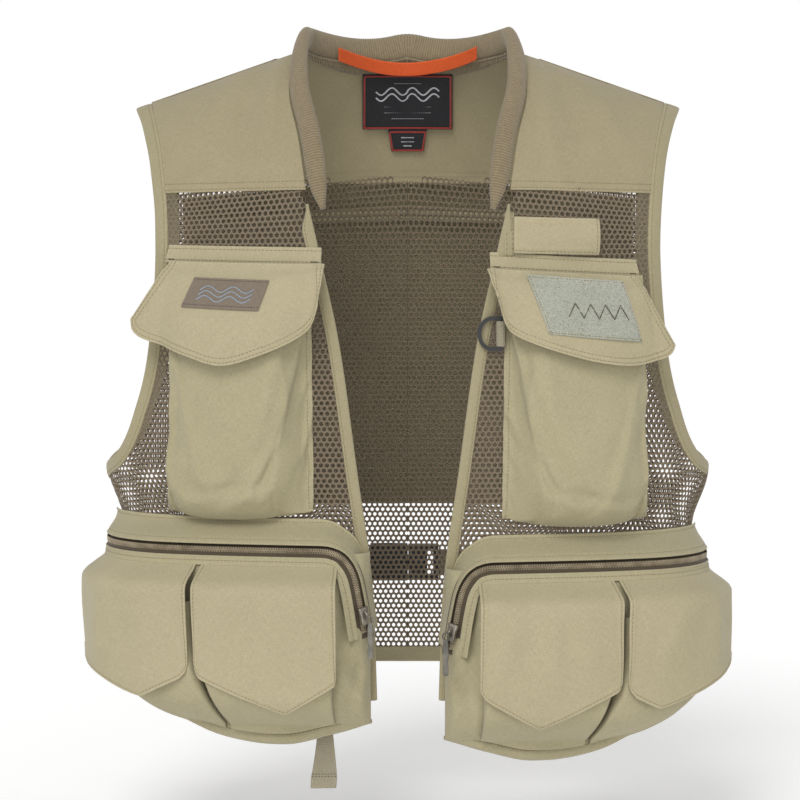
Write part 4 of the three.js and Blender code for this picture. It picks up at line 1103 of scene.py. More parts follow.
# %% Back net, in two halves that meet behind the spine
BACK_YOKE_END = beside(armhole_front, np.array([0.4, 0.41]), 5.0)[0] * [-1, 1] + [180, 0]


def back_yoke_foot(phi):
    """Level of the back yoke's hem, from the spine to the armhole."""
    column = clamp01((180 - phi) / (180 - BACK_YOKE_END[0]))
    return mix(float(level_at(YOKE_HEM_Z)), BACK_YOKE_END[1], column)


def back_keep(phi, level):
    """True inside the half of the back net that ends at phi 180."""
    outer = np.where(level > UNDERARM_LEVEL, 180 - np.interp(level, arm_levels, arm_angles), 90.1)
    top = back_yoke_foot(phi) + 3
    return (phi > outer) & (phi <= 180.0) & (level < top) & (level > NET_FOOT_LEVEL)


def back_waves(phi, level):
    """Slow waves that die away to a close fit behind the yoke's hem."""
    arc = np.interp(phi, angles, arc_table)
    under_hem = smooth_step((level - back_yoke_foot(phi) + 9) / 6)
    return mix(waves(arc, level, 11, 120, 1.0), 0.15, under_hem)


print("back nets")
for side in (RIGHT, LEFT):
    net = net_object(f"net_back_{SIDE_NAME[side]}", back_keep,
                     (arc_table[-1] / 2 - 8, arc_table[-1]), (-345, 65), back_waves, side)
    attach(net, "vest_body")
    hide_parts("back_net")

# %% [markdown]
# ## Working on a grid
# A panel is drawn as a grid, then changed where a tailor would: its turned edges are thicker, and
# the stitches run at a fixed distance from them. Both need the true distance from an edge, which
# is the running length of each grid line, not the grid's share.

# %% Distances and paths on a grid
def line_lengths(points, axis):
    """Running length along every line of one axis."""
    steps = np.linalg.norm(np.diff(points, axis=axis), axis=-1)
    total = np.cumsum(steps, axis=axis)
    zero = np.zeros_like(np.take(total, [0], axis=axis))
    return np.concatenate([zero, total], axis=axis)


def edge_distance(points, edges):
    """Least distance, along the grid lines, from the named edges u0, u1, v0, v1."""
    run_u, run_v = line_lengths(points, 0), line_lengths(points, 1)
    found = {
        "u0": run_u,
        "u1": run_u[-1:] - run_u,
        "v0": run_v,
        "v1": run_v[:, -1:] - run_v,
    }
    return np.minimum.reduce([found[name] for name in edges])


def outward_normals(points):
    """Normals of a grid, turned so that on average they point away from the body."""
    normal = grid_normals(points)
    return normal if (normal * form_direction(points)).sum(-1).mean() > 0 else -normal


def raise_hem(points, edges, **profile):
    """Moves a grid outward by the hem's height at each point's distance from the named edges."""
    height = hem_profile(edge_distance(points, edges), **profile)
    return points + outward_normals(points) * height[..., None]


def read_grid(points, i, j):
    """Bilinear reading of a grid at fractional indices."""
    i = np.clip(i, 0, points.shape[0] - 1.001)
    j = np.clip(j, 0, points.shape[1] - 1.001)
    a, b = np.floor(i).astype(int), np.floor(j).astype(int)
    s, t = (i - a)[:, None], (j - b)[:, None]
    near = points[a, b] * (1 - s) + points[a + 1, b] * s
    far = points[a, b + 1] * (1 - s) + points[a + 1, b + 1] * s
    return near * (1 - t) + far * t


def index_at(lengths, distance, from_end=False):
    """Fractional index along each line (axis 0 of lengths) at a distance from one end."""
    target = lengths[-1] - distance if from_end else np.full(lengths.shape[1], distance)
    return np.array([
        np.interp(target[k], lengths[:, k], np.arange(len(lengths)))
        for k in range(lengths.shape[1])
    ])


def inset_path(points, distance, edges):
    """The path that runs at a distance inside the edges u0, v1 and u1 of a grid, in that order;
    a missing side edge lets the path along v1 run out to the border."""
    nu, nv = points.shape[:2]
    normal = outward_normals(points)
    run_u, run_v = line_lengths(points, 0), line_lengths(points, 1)
    i_low, i_high = index_at(run_u, distance), index_at(run_u, distance, True)
    j_foot = index_at(run_v.T, distance, True)
    pieces = []
    start, stop = (i_low[-1] if "u0" in edges else 0), (i_high[-1] if "u1" in edges else nu - 1)
    if "v1" in edges:
        i = np.linspace(start, stop, nu)
        j = np.interp(i, np.arange(nu), j_foot)
        pieces = [(i, j)]
        foot_first, foot_last = j[0], j[-1]
    else:
        foot_first = foot_last = nv - 1
    if "u0" in edges:
        j = np.linspace(0, foot_first, nv)
        pieces.insert(0, (np.interp(j, np.arange(nv), i_low), j))
    if "u1" in edges:
        j = np.linspace(foot_last, 0, nv)
        pieces.append((np.interp(j, np.arange(nv), i_high), j))
    i, j = (np.concatenate(list(part)) for part in zip(*pieces))
    path, up = read_grid(points, i, j), read_grid(normal, i, j)
    step = np.linalg.norm(np.diff(path, axis=0), axis=-1)
    keep = np.concatenate([[True], step > 1e-6])
    return path[keep], up[keep]


def sew_edges(body, points, edges, distances=(1.8, 5.6), thread=None, **settings):
    """Rows of stitches round the named edges, one for each distance."""
    for distance in distances:
        path, up = inset_path(points, distance, edges)
        sew(body, path, up, thread, **settings)


def cut_size(points):
    """Width and length, in metres, of the flat piece that a grid was bent from, and its area: the
    longest line of each direction, and the sum of the grid's small parallelograms."""
    across, down = line_lengths(points, 0)[-1].max(), line_lengths(points, 1)[:, -1].max()
    sides = np.cross(np.diff(points, axis=0)[:, :-1], np.diff(points, axis=1)[:-1])
    area = np.linalg.norm(sides, axis=-1).sum()
    return (round(across * MM, 3), round(down * MM, 3)), round(float(area) * MM * MM, 5)


def declare_sheet(piece, points):
    """Prints the size that a free piece of cloth was cut to, and its area."""
    flat, area = cut_size(points)
    area = min(area, flat[0] * flat[1])
    print("  sheet", piece.name, "cut", flat, "area", area)


def finish_piece(piece, body, *nodes, slot="tan_nylon"):
    """Rides on a body and stands for CAD nodes; the slot is not used."""
    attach(piece, body)
    if nodes:
        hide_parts(*nodes)
    return piece


# %% [markdown]
# ## Yokes
# The yokes are plain nylon over the shoulders. The front ones run from the collar's seam to the
# armhole and down to a turned hem over the net; the back one is seen from inside, through the
# neck. They carry the vest's weight, so soft folds run from the neck towards the armhole.

# %% Front yokes
ARM_INSET = BINDING_WIDTH + 0.5


def front_yoke_grid(side):
    """Between the neck seam and the armhole, in shares u across and v from the hem to the ridge."""
    u = spread(130)
    v = spread(150)
    inner = neck_front(mix(0.2, 1, v)) + [0.4, 0]
    outer = beside(armhole_front, mix(0.4, 0, v), ARM_INSET)
    q = mix(inner[None], outer[None], u[:, None, None])
    level = np.where(v == 1, RIDGE_LEVEL - 0.5, q[..., 1])
    arc = np.interp(q[..., 0], angles, arc_table)
    fold = (
        crease(arc, level, (95, 215), (120, 60), 9, 2.4)
        + crease(arc, level, (112, 205), (150, 55), 7, -1.6)
        + crease(arc, level, (125, 210), (185, 90), 11, 1.8)
        + crease(arc, level, (100, 120), (135, 40), 6, 1.2)
        + crease(arc, level, (150, 75), (205, 50), 6, 1.0)
    )
    still = smooth_step(np.minimum(u, 1 - u)[:, None] * 8) * smooth_step((1 - v)[None] * 12)
    lift = 0.7 + fold * still + waves(arc, level, 21 + side, 60, 0.5) * still
    return place(side * q[..., 0], level, lift)


for side in (RIGHT, LEFT):
    grid = front_yoke_grid(side)
    grid = raise_hem(grid[:, ::-1], ("v1",), rows=(1.8, 7.0), fold=8)
    piece = shell(f"yoke_front_{SIDE_NAME[side]}", grid, 0.9, YOKE_TAN)
    sew_edges("vest_body", grid, ("v1",), (1.8, 7.0))
    finish_piece(piece, "vest_body", f"front_yoke_{SIDE_NAME[side]}")

# %% Back yoke
def back_yoke_grid():
    """Columns run from the spine through the neck point to the armhole; every row is bent by as
    much as the armhole bends away from the straight line between its two ends."""
    v = spread(130)
    outer = beside(armhole_front, mix(0.4, 0, v), ARM_INSET) * [-1, 1] + [180, 0]
    neck_column = 0.46
    s = np.concatenate([np.linspace(-1, -neck_column, 22),
                        np.linspace(-neck_column, neck_column, 41)[1:-1],
                        np.linspace(neck_column, 1, 22)])
    column = np.abs(s)
    neck = neck_back(np.clip(1 - column / neck_column, 0, 1))
    share = clamp01((column - neck_column) / (1 - neck_column))
    past = column > neck_column
    phi_top = np.where(past, mix(neck[:, 0] - 0.4, outer[-1, 0], share),
                       neck[:, 0] - 0.4 * (column > 0))
    level_top = np.where(past, RIDGE_LEVEL - 0.5, neck[:, 1] - 1)
    line = mix(outer[:1], outer[-1:], v[:, None])
    bend = outer - line
    foot = mix(float(level_at(YOKE_HEM_Z)), outer[0, 1], column)
    phi = mix(mix(180, outer[0, 0], column)[:, None], phi_top[:, None], v[None])
    phi = phi + column[:, None] * bend[None, :, 0]
    level = mix(foot[:, None], level_top[:, None], v[None]) + column[:, None] * bend[None, :, 1]
    signed = np.where(s < 0, -1, 1)[:, None] * phi
    x = place(signed, level)[..., 0]
    fold = sum(
        crease(x, level, (k * 30, 150), (k * 62, 60), 8, 1.8)
        + crease(x, level, (k * 60, 130), (k * 95, 40), 9, -2.2)
        + crease(x, level, (k * 78, 160), (k * 130, 80), 10, 1.6)
        for k in (-1, 1)
    )
    still = smooth_step((1 - v)[None] * 10) * smooth_step(v[None] * 10 - 0.3)
    return place(signed, level, 0.6 + (fold + waves(x, level, 31, 70, 0.8)) * still)


grid = raise_hem(back_yoke_grid()[:, ::-1], ("v1",), rows=(1.8, 7.0), fold=8)
piece = shell("yoke_back", grid, 0.9, YOKE_TAN)
sew_edges("vest_body", grid, ("v1",), (1.8, 7.0))
finish_piece(piece, "vest_body", "back_yoke")
print("yokes made")

# %% [markdown]
# ## Bindings and hem
# The raw edges of the net are wrapped in a folded strip of nylon: wide round the armholes,
# narrower down the fronts, and as a turned tape along the hem. A binding is a flat tube whose
# crown stands up a little between its fold and its row of stitches.

# %% Armhole bindings
def whole_armhole(side):
    """The tape's front half, and its back half mirrored through the side. Its two ends are cut
    upright, so that they meet under the arm."""
    t = np.linspace(0, 1, 320)
    w = np.linspace(0, 1, 11)
    q = np.stack([armhole(t, BINDING_WIDTH * share) for share in w], 1)
    at_side = 1 - smooth_step((0.5 - np.abs(t - 0.5)) / 0.03)
    edge = q[:, 0, 0]
    edge = np.where(t < 0.5, np.minimum(edge, 90), np.maximum(edge, 90))
    q[..., 0] = mix(q[..., 0], edge[:, None], at_side[:, None])
    q[0, :, 0] = q[-1, :, 0] = 90
    ripple = waves(t * 900, 0, 41 + side, 60, 0.25)[:, None]
    arch = 0.75 + 0.55 * (1 - (2 * w[None] - 1) ** 4) + ripple
    groove = 0.35 * np.exp(-(((w[None] * BINDING_WIDTH - 9.0) / 0.8) ** 2))
    return place(side * q[..., 0], q[..., 1], arch - groove)


for side in (RIGHT, LEFT):
    grid = whole_armhole(side)
    piece = shell(f"binding_armhole_{SIDE_NAME[side]}", grid, 2.3, TAPE_TAN)
    row = nearest(np.linspace(0, 1, 11), BINDING_WIDTH, 9.0)
    sew_grid("vest_body", grid, [("v", row)])
    finish_piece(piece, "vest_body", f"armhole_binding_{SIDE_NAME[side]}")

# %% Front bindings
def front_line(t):
    """The front edge as a curve on the form, from the collar's tip (0) to the hem (1)."""
    z = mix(COLLAR_TIP_Z + 7, HEM_TOP_Z - HEM_TAPE, t)
    x = front_edge_x(z)[..., 0]
    return np.stack([phi_at(x, z), level_at(z, x)], -1)


def front_binding_grid(side):
    """A tape 9 mm wide that narrows to a point over the collar's tip."""
    t = np.linspace(0, 1, 260)
    w = np.linspace(0, 1, 11)
    taper = 0.25 + 0.75 * smooth_step(t / 0.05)
    q = np.stack([beside(front_line, t, -FRONT_BINDING_WIDTH * taper * share) for share in w], 1)
    twist = 1.3 * waves(t * 400, 0, 51 + side, 110, 1.0)[:, None] * (1 - w[None])
    arch = 0.6 + 0.9 * (1 - (2 * w[None] - 1) ** 4) + twist * 0.5
    over = 3.0 * (1 - smooth_step(t / 0.08))[:, None]
    groove = 0.35 * np.exp(-(((w[None] * FRONT_BINDING_WIDTH - 7.4) / 0.8) ** 2))
    return place(side * q[..., 0], q[..., 1], arch - groove + over)


for side in (RIGHT, LEFT):
    grid = front_binding_grid(side)
    piece = shell(f"binding_front_{SIDE_NAME[side]}", grid, 2.4, TAPE_TAN)
    row = nearest(np.linspace(0, 1, 11), FRONT_BINDING_WIDTH, 7.4)
    sew_grid("vest_body", grid, [("v", row)])
    finish_piece(piece, "vest_body", f"front_binding_{SIDE_NAME[side]}")

# %% Hem tape
def hem_grid():
    """All the way round from one front edge to the other, a turned tape twelve millimetres high."""
    inner = float(front_edge_phi(HEM_TOP_Z - SPRING_Z, FRONT_BINDING_WIDTH + 0.5))
    s = np.linspace(-1, 1, 360)
    phi = np.where(s < 0, -1, 1) * mix(180, inner, np.abs(s))
    w = np.linspace(0, 1, 13)
    level = HEM_TOP_Z - SPRING_Z - w * HEM_TAPE
    arch = 0.5 + 0.5 * (1 - (2 * w - 1) ** 4)
    arc = np.sign(s) * np.interp(np.abs(phi), angles, arc_table)
    ripple = waves(arc[:, None], level[None], 61, 70, 0.35)
    grid = place(phi[:, None], level[None], arch[None] + ripple)
    grid[..., 2] -= 2.0 * (1 - np.abs(phi)[:, None] / 180) ** 2
    return grid


grid = hem_grid()
piece = shell("tape_hem", grid, 1.9, TAPE_TAN)
sew_grid("vest_body", grid, [("v", 2), ("v", 10)])
finish_piece(piece, "vest_body", "hem_tape")
print("bindings and hem made")

# %% [markdown]
# ## The collar
# A rib knit is a row of upright columns of loops, about two millimetres apart, that run across the
# collar's roll. The roll is a soft tube round the neck: it lies flat on the chest at its tips and
# stands up behind the neck. The ribs are real ridges, made by letting the tube's section swell and
# shrink along its path. Inside the back of the neck the knit runs on below the roll as a band.

# %% The roll
RIB = 2.1
COLLAR_SIDES = 22


def collar_frames(s):
    """For s from -1 (right tip) over the back to 1 (left tip): centre, across, thickness direction
    and the share t of the seam. The section leans inward by an angle that grows to 62 degrees."""
    t = 2 * (1 - np.abs(s))
    side = np.where(s < 0, -1, 1)
    q = neck_seam(t)
    seam = place(side * q[:, 0], q[:, 1])
    normal = place(side * q[:, 0], q[:, 1], 1.0) - seam
    after, before = neck_seam(np.minimum(t + 0.02, 2)), neck_seam(np.maximum(t - 0.02, 0))
    along = place(side * after[:, 0], after[:, 1]) - place(side * before[:, 0], before[:, 1])
    along = unit(along) * -side[:, None]
    inward = unit(np.cross(normal, along))
    neck = -seam * np.stack([np.ones_like(t), (t > 1.4) * 1.0, np.zeros_like(t)], -1)
    inward = np.where(((inward * neck).sum(-1) < 0)[:, None], -inward, inward)
    stand = np.radians(mix(0, 62, clamp01(t / 1.1)))[:, None]
    across = unit(inward * np.cos(stand) + normal * np.sin(stand))
    width = 20 * mix(0.75, 1.15, clamp01(t / 2))
    centre = seam + across * (width / 2 + 1)[:, None]
    return centre, across, unit(np.cross(along, across)), t, width


def blur(values, reach):
    """Running mean over 2 reach + 1 rows, the ends held."""
    padded = np.concatenate([np.repeat(values[:1], reach, 0), values,
                             np.repeat(values[-1:], reach, 0)])
    total = np.cumsum(np.concatenate([np.zeros_like(padded[:1]), padded]), axis=0)
    return (total[2 * reach + 1 :] - total[: -2 * reach - 1]) / (2 * reach + 1)


def collar_rings():
    """Super-round sections, thicker where they lean on the neck, with one ridge for each rib."""
    coarse = np.linspace(-1, 1, 600)
    moves = np.diff(collar_frames(coarse)[0], axis=0)
    run = np.concatenate([[0], np.cumsum(np.linalg.norm(moves, axis=-1))])
    length = run[-1]
    ribs = int(length / RIB)
    at = np.linspace(0, length, ribs * 6 + 1)
    s = np.interp(at, run, coarse)
    centre, across, thick, t, width = collar_frames(s)
    centre, across, thick = blur(centre, 20), unit(blur(across, 20)), unit(blur(thick, 20))
    taper = mix(0.3, 1.0, smooth_step(t / 0.3))
    flat = mix(0.55, 1.0, smooth_step(t / 0.4))
    phase = 2 * np.pi * at / RIB
    depth = mix(0.62, 0.45, smooth_step(t / 1.0))
    ridge = depth * (np.abs(np.cos(phase / 2)) - 0.6)
    turn = 2 * np.pi * np.arange(COLLAR_SIDES) / COLLAR_SIDES
    c, n = np.cos(turn), np.sin(turn)
    round_c = np.sign(c) * np.abs(c) ** 0.85
    round_n = np.sign(n) * np.abs(n) ** 0.9
    half_width = (width / 2 * taper)[:, None] + ridge[:, None]
    half_thick = (5.6 * flat)[:, None] + ridge[:, None]
    lump = 0.35 * waves(at, 0, 71, 55, 1.0)[:, None]
    ring = (
        centre[:, None]
        + across[:, None] * (half_width * round_c[None])[..., None]
        + thick[:, None] * ((half_thick + lump) * round_n[None])[..., None]
    )
    # The third value, the distance from each rib's crest, paints the crests lighter: partly wear,
    # partly painted highlight.
    return ring, at, 3.0 * (1 - np.abs(np.cos(phase / 2)))


rings, run, valley = collar_rings()
points, quads, triangles, uv = tube_arrays(rings)
# The crests of the ribs are painted lighter than the grooves: partly wear, partly painted highlight
# on the crests.
wear_and_highlight_rim = np.concatenate([np.repeat(valley, COLLAR_SIDES), [FAR_FROM_RIM] * 2])
collar = make_object("collar_roll", points, quads, triangles, uv=uv, rim=wear_and_highlight_rim, material=KNIT)
finish_piece(collar, "vest_body", "rib_collar", slot="rib_knit")
print("collar", round(run[-1]), "mm long,", int(run[-1] / RIB), "ribs")

# %% The band inside the neck
def neck_band_grid():
    """Along the back of the neck seam and down the inside of the yoke, ridged like the roll."""
    s = np.linspace(-1, 1, 900)
    t = 2 - 0.92 * np.abs(s)
    q = neck_back(t - 1)
    w = np.linspace(-0.3, 1, 10)
    x = place(np.where(s < 0, -1, 1) * q[:, 0], q[:, 1])[:, 0]
    drop = 11 * np.sqrt(1 - 0.85 * np.abs(s) ** 3)
    ridge = 0.28 * np.cos(2 * np.pi * x / RIB)[:, None]
    lift = -1.6 - 1.6 * (1 - (2 * clamp01(w)[None] - 1) ** 2) - ridge
    angle = (np.where(s < 0, -1, 1) * q[:, 0])[:, None]
    return place(angle, q[:, 1:] - w[None] * drop[:, None], lift)


grid = neck_band_grid()
piece = shell("collar_band", grid, 1.4, KNIT, outward=-form_direction(grid))
finish_piece(piece, "vest_body", slot="rib_knit")

# %% [markdown]
# ## Chest pockets
# Each chest pocket is a box pouch: a flat front panel joined to the net by gussets, so it can
# stand off by three centimetres when it is filled. The inner gusset is wide and shows as a
# slanted strip beside the front panel. The pouch's shape is a share across and a share down, each
# with its own rise off the net; the lower of the two rises wins, softly, which makes the corners.

# %% Depth of the chest pocket
CHEST = {
    "inner": 77, "outer": 178, "top": -143, "bottom": -334, "mouth": 17, "depth": 34,
    "flap_inner": 66, "flap_outer": 186, "flap_top": -136,
}


def chest_drop(side):
    """How much lower the left chest pocket hangs, in millimetres."""
    return 6 if side == LEFT else 0


def chest_depth(side):
    """Lift of the front panel: deepest in the middle, less at the mouth and near the foot."""
    top, bottom = CHEST["top"] - chest_drop(side), CHEST["bottom"] - chest_drop(side)
    inner, outer = float(phi_at(CHEST["inner"], top)), float(phi_at(CHEST["outer"], top))

    def depth(phi, level):
        across = clamp01((np.abs(phi) - inner) / (outer - inner))
        down = clamp01((top - SPRING_Z - level) / (top - bottom))
        middle = 1 - 0.3 * np.abs(2 * across - 1) ** 3
        fall = mix(CHEST["mouth"], CHEST["depth"], np.sin(np.minimum(down / 0.35, 1) * math.pi / 2))
        return fall * middle * (1 - 0.55 * clamp01((down - 0.8) / 0.2) ** 2)

    return depth


def soft_min(a, b, k=0.12):
    """Minimum of two shares, rounded over a width k."""
    h = clamp01(0.5 + 0.5 * (b - a) / k)
    return mix(b, a, h) - k * h * (1 - h)


def rise_curve(rows):
    """Piecewise-linear shares through rows of (u, place, rise)."""
    rows = np.array(rows, float)
    return lambda u: (np.interp(u, rows[:, 0], rows[:, 1]), np.interp(u, rows[:, 0], rows[:, 2]))


# %% Chest pouches
def chest_pouch_grid(side):
    """Front panel and gussets. Across: up the slanted inner gusset, over the front, down the outer
    one; down: from the mouth to the foot, then back under to the net."""
    across = rise_curve([(0, 0, 0), (0.09, 0.075, 0.5), (0.2, 0.19, 0.97), (0.24, 0.23, 1.0),
                         (0.9, 0.985, 1.0), (0.94, 1.0, 0.9), (0.97, 1.01, 0.45), (1, 1.0, 0)])
    down = rise_curve([(0, 0, 0.6), (0.05, 0.03, 1), (0.88, 0.96, 1.0), (0.92, 0.985, 0.85),
                       (0.96, 0.995, 0.45), (1, 0.985, 0)])
    u, v = np.linspace(0, 1, 76), np.linspace(0, 1, 96)
    (a, rise_a), (b, rise_b) = across(u), down(v)
    top, bottom = CHEST["top"] - chest_drop(side), CHEST["bottom"] - chest_drop(side)
    flare = 6 * smooth_step(v)[None]
    fold = 5.0 * np.sin(3.1 * np.pi * v)[None] * np.exp(-(((u - 0.22) / 0.07) ** 2))[:, None]
    x = mix(CHEST["inner"] - 1.5, CHEST["outer"] + 2.5, a[:, None])
    x = x + flare * (a[:, None] - 0.25) + fold
    z = mix(top, bottom, b)[None] - 3.0 * np.sin(np.pi * a)[:, None] * smooth_step(v * 3 - 2)[None]
    level = level_at(z, 100) + 0 * x
    phi = phi_at(x, z + 0 * x)
    rise = np.maximum(soft_min(rise_a[:, None] + 0 * v[None], rise_b[None] + 0 * u[:, None]), 0)
    low = 1.6
    depth = chest_depth(side)(phi, level)
    dents = waves(x, z, 81 + side, 60, 1.0) * rise
    dents = dents + crease(x, z, (100, bottom + 70), (150, bottom + 4), 7, -3.0) * rise
    dents = dents + crease(x, z, (168, bottom + 95), (150, bottom + 8), 6, 2.2) * rise
    dents = dents + crease(x, z, (96, bottom + 26), (140, bottom + 14), 5, 3.4) * rise
    dents = dents + crease(x, z, (92, bottom + 60), (118, bottom + 12), 4.5, -4.0) * rise
    dents = dents + crease(x, z, (120, bottom + 30), (172, bottom + 20), 4.5, -2.8) * rise
    dents = dents + crease(x, z, (172, bottom + 130), (182, bottom + 20), 5.0, -3.2) * rise
    dents = dents + crease(x, z, (100, bottom + 150), (112, bottom + 60), 6.0, 2.2) * rise
    return place(side * phi, level, low + (depth - low) * rise + dents)


for side in (RIGHT, LEFT):
    grid = chest_pouch_grid(side)
    pins = border_pins(*grid.shape[:2])
    grid = billow(grid, pins, pressure=1.6, grow=0.035, cap=5.5)
    piece = shell(f"pouch_chest_{SIDE_NAME[side]}", grid, 0.9, TAN)
    sew_grid("vest_body", grid, [("u", 2)])
    finish_piece(piece, "vest_body", f"chest_pouch_{SIDE_NAME[side]}")
print("chest pouches made")

# %% [markdown]
# ## Chest flaps
# A flap is two layers of nylon turned at the edge and stitched twice. Its outline is given by the
# top edge and the bottom edge in the plane of the front, and its lift off the net by the pouch
# under it. The corners are rounded because the turned cloth can't make a sharp one. A narrow strip
# with a row of stitches covers the seam where the flap is sewn on.

# %% Flap outlines
FLAP_LIFT = 3.6 + 1.2
FLAP_REACH = 27
SEAM_LIFT = 6.0
CHEST_FLAPS = {
    RIGHT: {
        "top": [(0, 66.5, -138.5), (1, 193.5, -137.5)],
        "foot": [(0, 70, -162), (0.05, 71.5, -173), (0.12, 76, -186), (0.22, 88, -196),
                 (0.35, 112, -207),
                 (0.52, 142, -216), (0.7, 168, -209.5), (0.86, 193, -201.5), (0.94, 207, -197),
                 (0.98, 214, -191), (1, 216, -183)],
    },
    LEFT: {
        "top": [(0, 63, -142), (1, 185, -149)],
        "foot": [(0, 71, -165), (0.05, 75, -181), (0.1, 80, -190), (0.25, 98, -199),
                 (0.42, 121.5, -207), (0.6, 145, -213.5), (0.78, 173, -217), (0.92, 195, -213.5),
                 (0.98, 203, -209), (1, 206, -203)],
    },
}


def chest_flap_grid(side):
    """Straight lines from the top edge to the foot. The lift starts near SEAM_LIFT at the seam and
    eases to the pouch's depth; the free corners curl a little outward."""
    edges = CHEST_FLAPS[side]
    u, v = spread(130, fine=0.8), spread(60, fine=0.8)
    top = np.stack([np.interp(u, [0, 1], [row[k] for row in edges["top"]]) for k in (1, 2)], -1)
    foot = smooth_through(edges["foot"])(u)
    q = mix(top[:, None], foot[:, None], v[None, :, None])
    x, z = q[..., 0], q[..., 1]
    level = level_at(z, 150)
    phi = phi_at(x, z, FLAP_REACH)
    lift = chest_depth(side)(phi, level) + FLAP_LIFT
    curl = 4.5 * smooth_step((u[:, None] - 0.8) / 0.2) * v[None] ** 2
    curl = curl + 2.5 * smooth_step((0.16 - u[:, None]) / 0.16) * v[None] ** 2
    soft = waves(x, z, 91 + side, 55, 0.9) * v[None]
    ease = smooth_step(v * 5)[None]
    over_pouch = mix(SEAM_LIFT, lift, mix(0.55, 1, ease))
    return place(side * phi, level, over_pouch + curl + soft)


for side in (RIGHT, LEFT):
    name = SIDE_NAME[side]
    body = f"chest_flap_{name}"
    grid = raise_hem(chest_flap_grid(side), ("u0", "u1", "v1"), rows=(1.6, 5.4))
    piece = shell(f"flap_chest_{name}", grid, 1.3, FLAP_TAN)
    sew_edges(body, grid, ("u0", "v1", "u1"), (1.6, 5.4))
    finish_piece(piece, body, f"chest_flap_{name}", slot="flap_nylon")
    declare_sheet(piece, grid)

    (_, x0, z0), (_, x1, z1) = CHEST_FLAPS[side]["top"]
    u, w = spread(122), np.linspace(0, 1, 12)
    x = mix(x0 + 1, x1 - 6, u)[:, None] + 0 * w[None]
    z = mix(z0, z1, u)[:, None] + 12 - 13 * w[None]
    slope = 1.2 + 5.0 * smooth_step(w * 1.1)[None] + 0.5 * waves(x, z, 95 + side, 40, 1)
    strip = place(side * phi_at(x, z), level_at(z, x), slope)
    strip = raise_hem(strip, ("v0",), rows=(1.6,), fold=4, rise=0.4)
    seam = shell(f"flap_seam_{name}", strip, 1.2, FLAP_TAN)
    sew_grid("vest_body", strip, [("v", 2), ("v", 9)])
    for start, stop in ((3, 12), (len(u) - 12, len(u) - 3)):
        sew_grid("vest_body", strip, [("v", 9, start, stop)], thread="dark", pitch=1.1, length=2.0,
                 radius=0.5)
    finish_piece(seam, "vest_body", slot="flap_nylon")
print("chest flaps made")

# %% [markdown]
# ## Closures, patch and label
# Under each flap a strip of hooks meets a strip of loops on the pouch. The right flap carries a
# woven label with a plain wave on it; the left one a patch of fleece, on which flies are kept,
# with a stitched edge and a plain zigzag.

# %% Hook and loop strips
def strip_grid(side, lift):
    """A strip 14 mm high behind the flap's lower half."""
    top = CHEST["flap_top"] - chest_drop(side)
    inner = float(phi_at(CHEST["flap_inner"], top))
    outer = float(phi_at(CHEST["flap_outer"], top))
    phi = mix(inner, outer, np.linspace(0.38, 0.74, 40))[:, None]
    level = (top - SPRING_Z - 46 - np.linspace(0, 14, 12))[None]
    phi, level = np.broadcast_arrays(phi, level)
    return place(side * phi, level, chest_depth(side)(phi, level) + lift)


for side in (RIGHT, LEFT):
    name = SIDE_NAME[side]
    grid = strip_grid(side, 1.5)
    loops = shell(f"strip_loops_{name}", grid, 1.1, HOOK)
    finish_piece(loops, "vest_body", f"chest_loop_strip_{name}", slot="hook_tape")
    grid = strip_grid(side, 3.1)
    hooks = shell(f"strip_hooks_{name}", grid, 1.1, HOOK)
    finish_piece(hooks, f"chest_flap_{name}", f"chest_hook_strip_{name}", slot="hook_tape")


# %% Plates that lie on a surface
def flap_surface(side, x, z, lift):
    """A point over the flap's outer face at the front's x and z."""
    level = level_at(z, 150)
    phi = phi_at(x, z, FLAP_REACH)
    return place(side * phi, level, chest_depth(side)(phi, level) + FLAP_LIFT + lift)


def plate_points(side, corners, lift, nu=50, nv=34):
    """A bilinear patch between four corners (top inner, top outer, foot inner, foot outer)."""
    a, b, c, d = (np.array(p, float) for p in corners)
    u, v = np.linspace(0, 1, nu)[:, None, None], np.linspace(0, 1, nv)[None, :, None]
    q = mix(mix(a, b, u), mix(c, d, u), v)
    return flap_surface(side, q[..., 0], q[..., 1], lift), q


def line_on(side, x, z, lift):
    """A path over the flap and its outward directions."""
    path = flap_surface(side, x, z, lift)
    return path, unit(flap_surface(side, x, z, lift + 1) - path)


LABEL_CORNERS = [(108, -150.5), (167, -149), (115, -173.5), (175, -171.5)]
points, q = plate_points(RIGHT, LABEL_CORNERS, 1.6)
label = shell("label_chest", points, 0.9, LABEL_BROWN)
finish_piece(label, "chest_flap_right", "chest_label", slot="brown_label")
for share in (0.07, 0.93):
    row = q[:, int(share * 33)]
    path, up = line_on(RIGHT, row[:, 0], row[:, 1], 1.7)
    sew("chest_flap_right", path, up, thread="dark", pitch=2.2, length=1.5, radius=0.28)
across = np.linspace(0.14, 0.86, 160)
left_edge, right_edge = np.array(LABEL_CORNERS[0]), np.array(LABEL_CORNERS[1])
slant = np.array(LABEL_CORNERS[2]) - left_edge
for share in (0.36, 0.52, 0.68):
    spot = left_edge + (right_edge - left_edge) * across[:, None] + slant * share
    path, up = line_on(RIGHT, spot[:, 0], spot[:, 1] + 2.2 * np.sin(across * 19), 1.7)
    sew("chest_flap_right", path, up, thread="blue", pitch=0.9, length=1.5, radius=0.55)

